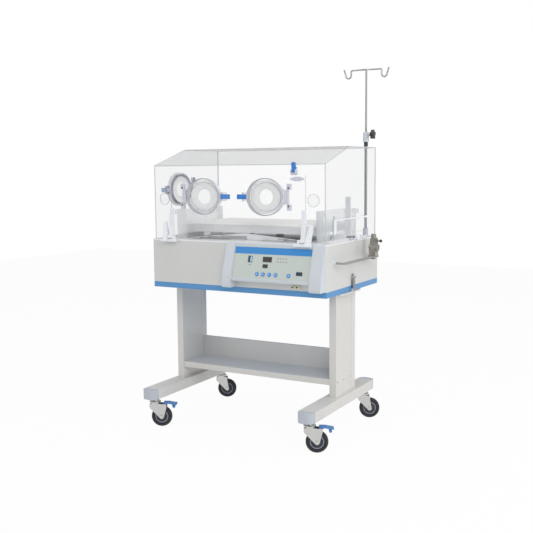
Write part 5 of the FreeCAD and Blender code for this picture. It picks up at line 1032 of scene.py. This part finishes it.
@dataclass
class ControlUnit:
    """Housing, printed face, displays, keys and lamps."""

    half_depth: float = 295.0
    base: float = 674.0
    face_bottom_out: float = 46.0
    face_top_out: float = 6.0
    face_bottom: float = 76.0
    face_top: float = 217.0
    left: float = 9.0
    right: float = 403.0
    strip_low: float = 112.0
    strip_high: float = 143.0
    film: float = 0.35
    sockets: tuple[float, float] = (304.0, 327.0)
    socket_level: float = 717.0
    socket_hole: float = 4.5
    socket_rim: float = 7.5
    # Area of the recess that is painted grey as shade.
    recess_shade_x: tuple[float, float] = (285.0, 345.0)
    recess_shade_top: float = 735.0
    rocker_middle: float = 349.5
    lamps_from: float = 225.0
    proud: float = 1.02
    # Place of the level window's pale blue part, which has a painted glow.
    light: tuple[float, ...] = (96.5, 104.5, 75.5, 100.5)
    mark: tuple[float, ...] = (88.5, 101.5, 60.5, 63.0)
    digit_rows: tuple[tuple, ...] = ((166.0, 4, 81.5, 7.0, 14.5), (166.5, 3, 53.2, 5.2, 10.5))
    keys: tuple[float, ...] = (139.0, 170.0, 202.0, 234.0, 299.0)
    key_level: float = 21.0
    key_out: float = 2.75
    sign: float = 3.8
    cross: tuple[float, float] = (3.6, 0.9)

    @property
    def tilt(self) -> float:
        """Lean of the face from upright, in radians."""
        return math.atan2(self.face_bottom_out - self.face_top_out, self.face_top - self.face_bottom)

    def spot(self, along: float, up: float, out: float) -> Vector:
        """Point on the face: along X, up the slope and out of it, in millimetres.

        Args:
            along: place along X.
            up: distance up the slope.
            out: distance out of the face.

        Returns:
            The point in metres.
        """
        sine, cosine = math.sin(self.tilt), math.cos(self.tilt)
        y = -self.half_depth - self.face_bottom_out + up * sine - out * cosine
        z = self.base + self.face_bottom + up * cosine + out * sine
        return PLACE.at(along, y, z)

    def outward(self, depth: float) -> Vector:
        """Vector out of the face, in metres for a depth in millimetres."""
        return Vector((0.0, -math.cos(self.tilt), math.sin(self.tilt))) * depth * MM

    def panel(self, shape: bmesh.types.BMesh, u0: float, u1: float, v0: float, v1: float, out: float,
              depth: float, material: int = 0, radius: float = 0.0) -> None:
        """Add a plate with rounded corners that lies on the face.

        Args:
            shape: receives the faces.
            u0: lower end along X, in millimetres.
            u1: upper end along X.
            v0: lower end up the slope.
            v1: upper end up the slope.
            out: how far its back lies off the face.
            depth: its thickness.
            material: material number of the faces.
            radius: radius of its corners, or 0 for sharp ones.
        """
        corners = []
        for cu, cv, start in ((u0, v0, 180), (u1, v0, 270), (u1, v1, 0), (u0, v1, 90)):
            if not radius:
                corners.append(self.spot(cu, cv, out))
                continue
            mid_u = cu + radius if cu == u0 else cu - radius
            mid_v = cv + radius if cv == v0 else cv - radius
            for step in range(5):
                angle = math.radians(start + 22.5 * step)
                across, up = radius * math.cos(angle), radius * math.sin(angle)
                corners.append(self.spot(mid_u + across, mid_v + up, out))
        Shop.plate(shape, corners, self.outward(depth), material)

    def build(self) -> None:
        """Dress the unit and add its films and marks."""
        housing = [Finishes.HOUSING, Finishes.BLACK, Finishes.SOCKET, Finishes.RECESS_SHADE]
        Shop.refine("control_housing", housing, 1.0, self.housing_finish)
        Shop.refine("control_panel", [Finishes.PANEL], 0.2)
        Shop.refine("panel_windows", [Finishes.WINDOW, Finishes.LAMP_OFF], 0.15,
                    lambda centre, normal: 1 if centre.x > self.lamps_from else 0)
        Shop.refine("rocker_switch", [Finishes.NAVY, Finishes.BLACK], 0.5,
                    lambda centre, normal: 0 if centre.x < self.rocker_middle else 1)
        for number, along in enumerate(self.keys, 1):
            Shop.refine(f"button_{number}", [Finishes.BUTTON], 0.3)
            self.key_mark(number, along)
        self.blue_strip()
        self.level_window()
        self.digits()

    def housing_finish(self, centre: Vector, normal: Vector) -> int:
        """Grey patch of painted shade in the recess under the face, with two cream lead sockets that are dark
        inside.

        Args:
            centre: middle of the face, in millimetres from the cabinet.
            normal: direction that the face points in.

        Returns:
            The face's material number.
        """
        reach = min(math.hypot(centre.x - x, centre.z - self.socket_level) for x in self.sockets)
        if reach < self.socket_hole and centre.y > -self.half_depth - 15:
            return 1
        if reach < self.socket_rim and centre.y > -self.half_depth - 17:
            return 2
        # The recessed faces round the sockets are painted grey: painted shade under the overhang.
        plate = self.recess_shade_x[0] < centre.x < self.recess_shade_x[1] and centre.z < self.recess_shade_top
        return 3 if plate and centre.y > -self.half_depth - 4.5 else 0

    def blue_strip(self) -> None:
        """Printed blue band along the top of the face."""
        shape = bmesh.new()
        self.panel(shape, self.left + 1.5, self.right - 1.5, self.strip_low, self.strip_high, 0.02, self.film)
        made = Shop.piece("panel_blue_band", shape, [Finishes.PANEL_BLUE], "stand")

    def level_window(self) -> None:
        """Water level window: dark on the left and pale blue on the right, the pale blue with a painted glow.
        """
        shape = bmesh.new()
        self.panel(shape, *self.light, self.proud, 0.3, 0, 2.5)
        Shop.piece("level_window_painted_glow", shape, [Finishes.LEVEL_GLOW], "stand")
        ring = bmesh.new()
        self.panel(ring, *self.mark, 0.02, 0.3, 0, 1.0)
        Shop.piece("level_window_mark", ring, [Finishes.LAMP_OFF], "stand")

    def digits(self) -> None:
        """Unlit seven-bar digits behind the two display windows, given a faint painted glow."""
        shape = bmesh.new()
        for start, count, low, width, tall in self.digit_rows:
            for place in range(count):
                self.digit(shape, start + place * width * 1.32, low, width, tall)
        Shop.piece("display_digits", shape, [Finishes.SEGMENT_GLOW], "stand")

    def digit(self, shape: bmesh.types.BMesh, left: float, low: float, width: float, tall: float) -> None:
        """Seven bars of one digit.

        Args:
            shape: receives the faces.
            left: its left end in millimetres.
            low: its lower end.
            width: its width.
            tall: its height.
        """
        bar = width * 0.16
        right, middle = left + width - bar, low + tall / 2
        for bottom in (low, middle - bar / 2, low + tall - bar):
            self.panel(shape, left + bar, right, bottom, bottom + bar, self.proud, 0.12)
        for side in (left, right):
            self.panel(shape, side, side + bar, low + bar, middle - bar / 2, self.proud, 0.12)
            self.panel(shape, side, side + bar, middle + bar / 2, low + tall - bar, self.proud, 0.12)

    def key_mark(self, number: int, along: float) -> None:
        """A plain white sign on each key: triangles and a cross.

        Args:
            number: the key, counted from the left.
            along: the key's place along X.
        """
        up, out, (arm, half) = self.key_level, self.key_out, self.cross
        shape = bmesh.new()
        turn = {1: 90, 2: 270, 3: 0, 4: 180}.get(number)
        if turn is None:
            self.panel(shape, along - arm, along + arm, up - half, up + half, out, 0.3)
            self.panel(shape, along - half, along + half, up - arm, up + arm, out, 0.31)
        else:
            angles = [math.radians(turn + 120 * step) for step in range(3)]
            corners = [self.spot(along + self.sign * math.cos(angle), up + self.sign * math.sin(angle), out)
                       for angle in angles]
            Shop.plate(shape, corners, self.outward(0.3))
        Shop.piece(f"key_{number}_mark", shape, [Finishes.MARK], f"push_button_{number}")


@dataclass
class Hood:
    """Clear hood, its doors, hinges and latches."""

    wall: float = 5.0
    half_x: float = 457.0
    half_y: float = 287.0
    top: float = 1340.3
    front_top: float = 1259.3
    base: float = 908.3
    slope_back: float = -26.0
    round_in: float = 1.0
    seam: float = 1.2
    port_x: float = 165.0
    port_level: float = 1114.0
    side_port_y: float = -60.0
    strap_from: float = 94.5
    screw_x: float = 283.0
    screw_rise: float = 40.0
    screw_out: float = 15.2

    def build(self, screws: ScrewTree) -> None:
        """Dress the hood.

        Args:
            screws: sets the screw heads.
        """
        hood_finishes = [Finishes.CLEAR, Finishes.EDGE, Finishes.ROOF_SHADE, Finishes.PALE]
        Shop.refine("hood_shell", hood_finishes, 0.0, self.hood_finish, 25.0)
        Shop.refine("front_door_panel", hood_finishes, 0.0, self.door_finish, 25.0)
        Shop.refine("side_hatch", [Finishes.CLEAR, Finishes.EDGE, Finishes.HINGE], 0.0, self.hatch_finish, 25.0)
        Shop.refine("door_arms", [Finishes.HINGE], 1.0)
        Shop.refine("door_hinge_brackets", [Finishes.HINGE], 1.0)
        Shop.refine("front_door_latch", [Finishes.LATCH], 1.0)
        Shop.refine("tube_grommets", [Finishes.SILICONE], 0.0)
        for node in ("port_door_left", "port_door_right", "side_port_door"):
            Shop.refine(node, [Finishes.CAP_CLEAR, Finishes.CAP_RIM, Finishes.PALE], 0.0,
                        self.cap_finish(node), 25.0)
        for node in ("port_latch_left", "port_latch_right"):
            Shop.refine(node, [Finishes.LATCH], 0.8)
        # The side port latch gets the paler copy of the latch blue: painted light.
        Shop.refine("side_port_latch", [Finishes.FAR_LATCH_PAINTED_PALE], 0.8)
        self.hinge_screws(screws)
        self.seams()

    def seams(self) -> None:
        """Grey glue lines inside the corners where the hood's sheets meet."""
        inset = self.wall / 2
        x, y = self.half_x - inset - self.round_in, self.half_y - inset - self.round_in
        shape = bmesh.new()
        low, front, top = self.base + 1, self.front_top - self.round_in, self.top - inset - self.round_in
        for side in (-1, 1):
            outline = [(-y, low), (-y, front), (self.slope_back, top), (y, top), (y, low)]
            for (y0, z0), (y1, z1) in zip(outline, outline[1:]):
                Shop.bar(shape, PLACE.at(side * x, y0, z0), PLACE.at(side * x, y1, z1), self.seam * MM, 10)
        for depth, level in ((-y, front), (self.slope_back, top), (y, top)):
            Shop.bar(shape, PLACE.at(-x, depth, level), PLACE.at(x, depth, level), self.seam * MM, 10)
        Shop.piece("hood_seams", shape, [Finishes.SEAM], "hood")

    def hinge_screws(self, screws: ScrewTree) -> None:
        """Black screws in the port hinge blocks.

        Args:
            screws: sets the screw heads.
        """
        y = -self.half_y - self.screw_out
        spots = [ScrewSpot(side * self.screw_x, y, self.port_level + rise * self.screw_rise, (0.0, -1.0, 0.0))
                 for side in (-1, 1) for rise in (-1, 1)]
        screws.drive("port_hinge_screws", spots, 4.2, 1.6, Finishes.BLACK, "front_door")

    def on_wall(self, centre: Vector, normal: Vector) -> bool:
        """True for the broad faces of the hood's sheets.

        Args:
            centre: middle of the face, in millimetres from the cabinet.
            normal: direction that the face points in.

        Returns:
            Whether the face is one of them.
        """
        for reach, value, part in ((self.half_x, centre.x, normal.x), (self.half_y, centre.y, normal.y)):
            if abs(part) > 0.99 and reach - self.wall - 0.6 < abs(value) < reach + 0.3:
                return True
        return False

    def hood_finish(self, centre: Vector, normal: Vector) -> int:
        """Clear walls, a roof and sloped top made greyer by painted shade, bright cut edges and bends, pale
        fittings.

        Args:
            centre: middle of the face, in millimetres from the cabinet.
            normal: direction that the face points in.

        Returns:
            The face's material number.
        """
        # Roof and sloped top take the greyer copy of the acrylic: painted shade on the same clear sheet.
        over = normal.z > 0.9 and centre.z > self.top - 1
        under = normal.z < -0.9 and abs(centre.z - self.top + self.wall) < 1
        if over or under:
            return 2
        if abs(normal.x) < 0.05 and 0.5 < abs(normal.z) < 0.99 and centre.z > self.front_top - 8:
            return 2
        if self.on_wall(centre, normal):
            return 0
        outside = abs(centre.x) > self.half_x + 0.3 or abs(centre.y) > self.half_y + 0.3
        return 3 if outside and (centre.x < 0 or centre.z > 1175) else 1

    def door_finish(self, centre: Vector, normal: Vector) -> int:
        """Clear panel with bright edges, pale hinge blocks and a pale finger catch.

        Args:
            centre: middle of the face, in millimetres from the cabinet.
            normal: direction that the face points in.

        Returns:
            The face's material number.
        """
        if centre.y > -self.half_y - 0.2:
            return 0 if abs(normal.y) > 0.99 else 1
        return 3 if 270 < abs(centre.x) < 296 or centre.z > 1150 and centre.x > 270 else 1

    def hatch_finish(self, centre: Vector, normal: Vector) -> int:
        """Clear hatch with a pale bar and knob.

        Args:
            centre: middle of the face, in millimetres from the cabinet.
            normal: direction that the face points in.

        Returns:
            The face's material number.
        """
        if centre.x > self.half_x + 0.2:
            return 2
        return 0 if abs(normal.x) > 0.99 else 1

    def cap_finish(self, node: str) -> Picker:
        """Clear front, brighter rim and a pale hinge strap for one port cap.

        Args:
            node: the cap's CAD node.

        Returns:
            The picker for its faces.
        """
        sideways = node == "side_port_door"
        along, across = (1, 0) if sideways else (0, 1)
        front = PLACE.back(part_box(node)[0])[across]
        middle = self.port_x if node.endswith("right") else -self.port_x
        if sideways:
            middle = self.side_port_y

        def pick(centre: Vector, normal: Vector) -> int:
            """Material number of one face.

            Args:
                centre: middle of the face, in millimetres from the cabinet.
                normal: direction that the face points in.

            Returns:
                The face's material number.
            """
            if abs(centre[along] - middle) > self.strap_from:
                return 2
            return 0 if abs(normal[across]) > 0.95 and centre[across] < front + 4 else 1

        return pick


@dataclass
class Cuff:
    """A gathered cloth cuff between an oval frame and a round elastic hole."""

    half_wide: float = 76.0
    half_tall: float = 66.0
    hole: float = 33.0
    depth: float = 8.0
    pleats: int = 26
    steps: int = 208
    rings: int = 22
    seed: int = 5
    fullness: float = 1.06
    carrier: str = "front_door_panel"

    @property
    def cut_area(self) -> float:
        """Flat area of the cloth in square metres: the ring between oval and hole, and what is gathered."""
        return math.pi * (self.half_wide * self.half_tall - self.hole ** 2) * self.fullness * MM ** 2

    def build(self, name: str, centre: Vector, across: Vector, out: Vector, body: str) -> bpy.types.Object:
        """Make one cuff.

        Args:
            name: the piece's name.
            centre: middle of the hole in the plane behind the cuff.
            across: direction of the oval's long axis.
            out: direction away from the hood's inside.
            body: the body it rides on.

        Returns:
            The cuff, rolled at its outer edge and at the elastic.
        """
        chance = random.Random(self.seed)
        waves = [(self.pleats + chance.randint(-9, 9), chance.uniform(0, math.tau), chance.uniform(0.5, 1.0))
                 for _ in range(5)]
        shape = bmesh.new()
        upright = Vector((0.0, 0.0, 1.0))
        rows = []
        for side in (1, -1):
            order = range(self.rings + 1) if side == 1 else range(self.rings, -1, -1)
            for ring in order:
                share = ring / self.rings
                row = []
                for step in range(self.steps):
                    angle = math.tau * step / self.steps
                    edge = Vector((self.half_wide * math.cos(angle), self.half_tall * math.sin(angle)))
                    inner = Vector((math.cos(angle), math.sin(angle))) * (self.hole + 1.6)
                    flat = edge.lerp(inner, share)
                    gather = sum(size * math.sin(count * angle + phase) for count, phase, size in waves) / 3.2
                    swell = math.sin(math.pi * min(1.0, share * 1.04)) ** 0.6
                    crease = gather * (0.25 + 0.75 * share) * (1 - share ** 6)
                    height = 3.0 + swell * 2.6 + crease * 1.5 - 1.2 * share
                    thick = 0.9 + 0.9 * math.exp(-((share - 0.97) / 0.05) ** 2)
                    height += side * thick
                    local = across * flat.x + upright * flat.y + out * max(0.2, min(self.depth - 0.2, height))
                    row.append(shape.verts.new(centre + local * MM))
                rows.append(row)
        Shop.skin(shape, rows)
        bmesh.ops.remove_doubles(shape, verts=shape.verts, dist=1e-6)
        made = Shop.piece(name, shape, [Finishes.CUFF], body, 80.0)
        self.cut_area
        return made


@dataclass
class HandPorts:
    """The three cuffs behind the port caps."""

    wall_y: float = -287.0
    wall_x: float = -457.0
    spacing: float = 330.0
    level: float = 1114.0
    side_y: float = -60.0
    side_level: float = 1140.0
    gap: float = 1.0

    def build(self) -> None:
        """Make the cuffs and hide the plain solids that they stand for."""
        across, out = Vector((1.0, 0.0, 0.0)), Vector((0.0, -1.0, 0.0))
        for name, side in (("left", -1), ("right", 1)):
            centre = PLACE.at(side * self.spacing / 2, self.wall_y - self.gap, self.level)
            Cuff(seed=5 + side).build(f"cuff_{name}", centre, across, out, "front_door")
        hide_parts("port_cuffs")
        centre = PLACE.at(self.wall_x - self.gap, self.side_y, self.side_level)
        across, out = Vector((0.0, 1.0, 0.0)), Vector((-1.0, 0.0, 0.0))
        made = Cuff(seed=9, carrier="hood_shell").build("cuff_side", centre, across, out, "hood")
        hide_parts("side_port_cuff")


@dataclass
class Bed:
    """Tray, mattress, guards, probe and tilt knob."""

    voxel: float = 0.006
    pressure: float = 3.0
    steps: int = 20
    swell_limit: float = 0.006
    shrink: float = 2.0
    top_share: float = 2.4
    rounding: float = 0.009
    knob_x: float = 469.5

    def build(self) -> None:
        """Dress the bed."""
        Shop.refine("mattress_tray", [Finishes.TRAY], 0.8)
        Shop.refine("end_guards", [Finishes.GUARD], 0.8)
        Shop.refine("air_probe", [Finishes.TRAY], 0.8)
        Shop.refine("tilt_knob", [Finishes.HINGE, Finishes.SATIN], 0.6,
                    lambda centre, normal: 0 if centre.x > self.knob_x else 1)
        self.mattress()

    def mattress(self) -> None:
        """Foam pad in a smooth cover, puffed up a little by a cloth run."""
        low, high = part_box("mattress")
        low = low + Vector((1, 1, 0)) * self.shrink * MM
        high = high - Vector((1, 1, self.top_share)) * self.shrink * MM
        shape = bmesh.new()
        bmesh.ops.create_cube(shape, size=1.0, matrix=Matrix.Translation((low + high) / 2)
                              @ Matrix.Diagonal((*(high - low), 1.0)))
        bmesh.ops.bevel(shape, geom=shape.edges, offset=self.rounding, segments=4, profile=0.6, affect="EDGES")
        made = Shop.piece("mattress_pad", shape, [Finishes.COVER], "bed", 60.0)
        made.parent = None
        remesh = made.modifiers.new("remesh", "REMESH")
        remesh.mode = "VOXEL"
        remesh.voxel_size = self.voxel
        Shop.settle(made)
        self.puff(made)
        finer = made.modifiers.new("round", "SUBSURF")
        finer.levels = finer.render_levels = 1
        Shop.settle(made)
        self.fit(made)
        Shop.shade(made, 80.0)
        Shop.dress(made, [Finishes.COVER])
        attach(made, "bed")
        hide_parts("mattress")

    def puff(self, made: bpy.types.Object) -> None:
        """Let pressure swell the cover, and cap how far a point may move.

        Args:
            made: the pad, with its corners rounded.
        """
        scene = bpy.context.scene
        rest = [vert.co.copy() for vert in made.data.vertices]
        cloth = made.modifiers.new("cloth", "CLOTH")
        cloth.settings.use_pressure = True
        cloth.settings.uniform_pressure_force = self.pressure
        cloth.settings.effector_weights.gravity = 0.0
        cloth.settings.quality = 5
        for step in range(1, self.steps + 1):
            scene.frame_set(step)
        Shop.settle(made)
        for vert, start in zip(made.data.vertices, rest):
            move = vert.co - start
            if move.length > self.swell_limit:
                vert.co = start + move.normalized() * self.swell_limit
        scene.frame_set(1)

    def fit(self, made: bpy.types.Object) -> None:
        """Keep the pad between the tray's floor and walls.

        Args:
            made: the pad in its final shape.
        """
        low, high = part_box("mattress")
        for vert in made.data.vertices:
            for axis in range(3):
                vert.co[axis] = min(max(vert.co[axis], low[axis]), high[axis])


@dataclass
class RailAndClamp:
    """Accessory rail with its clamp."""

    knob_x: float = 540.5

    def build(self) -> None:
        """Dress the rail and the clamp."""
        Shop.refine("side_rail", [Finishes.CHROME_DARKENED], 0.6)
        Shop.refine("rail_clamp_body", [Finishes.NICKEL], 0.7)
        Shop.refine("rail_clamp_lever", [Finishes.NICKEL], 0.6)
        Shop.refine("rail_clamp_knob", [Finishes.BLACK, Finishes.STEEL], 0.3,
                    lambda centre, normal: 0 if centre.x > self.knob_x else 1)


@dataclass
class DripPole:
    """Two-part pole with its collar, screw and hooks."""

    joint: float = 1366.0
    socket_low: float = 896.0
    axis: tuple[float, float] = (390.0, 320.0)
    tube_radius: float = 9.0
    knob_x: float = 412.0

    def build(self) -> None:
        """Dress the pole."""
        Shop.refine("pole_tube", [Finishes.SATIN, Finishes.PALE], 0.4, self.tube_finish)
        Shop.refine("pole_collar", [Finishes.HOUSING, Finishes.BLACK], 0.6,
                    lambda centre, normal: 1 if centre.z < self.joint + 1 else 0)
        Shop.refine("pole_knob", [Finishes.BLACK, Finishes.STEEL], 0.8,
                    lambda centre, normal: 0 if centre.x > self.knob_x else 1)
        Shop.refine("pole_hook_rod", [Finishes.CHROME_DARKENED], 0.0)

    def tube_finish(self, centre: Vector, normal: Vector) -> int:
        """Pale bracket round the bare tube, from deck height up."""
        radius = math.hypot(centre.x - self.axis[0], centre.y - self.axis[1])
        return 1 if radius > self.tube_radius and centre.z > self.socket_low else 0


def main() -> None:
    """Build the incubator's looks around its frame."""
    logging.basicConfig(level=logging.INFO, format="%(message)s")
    screws = ScrewTree()
    Studio().build()
    Stand().build(screws)
    Casters().build()
    Cabinet().build(screws)
    ControlUnit().build()
    Hood().build(screws)
    HandPorts().build()
    Bed().build()
    RailAndClamp().build()
    DripPole().build()


if __name__ == "__main__":
    main()
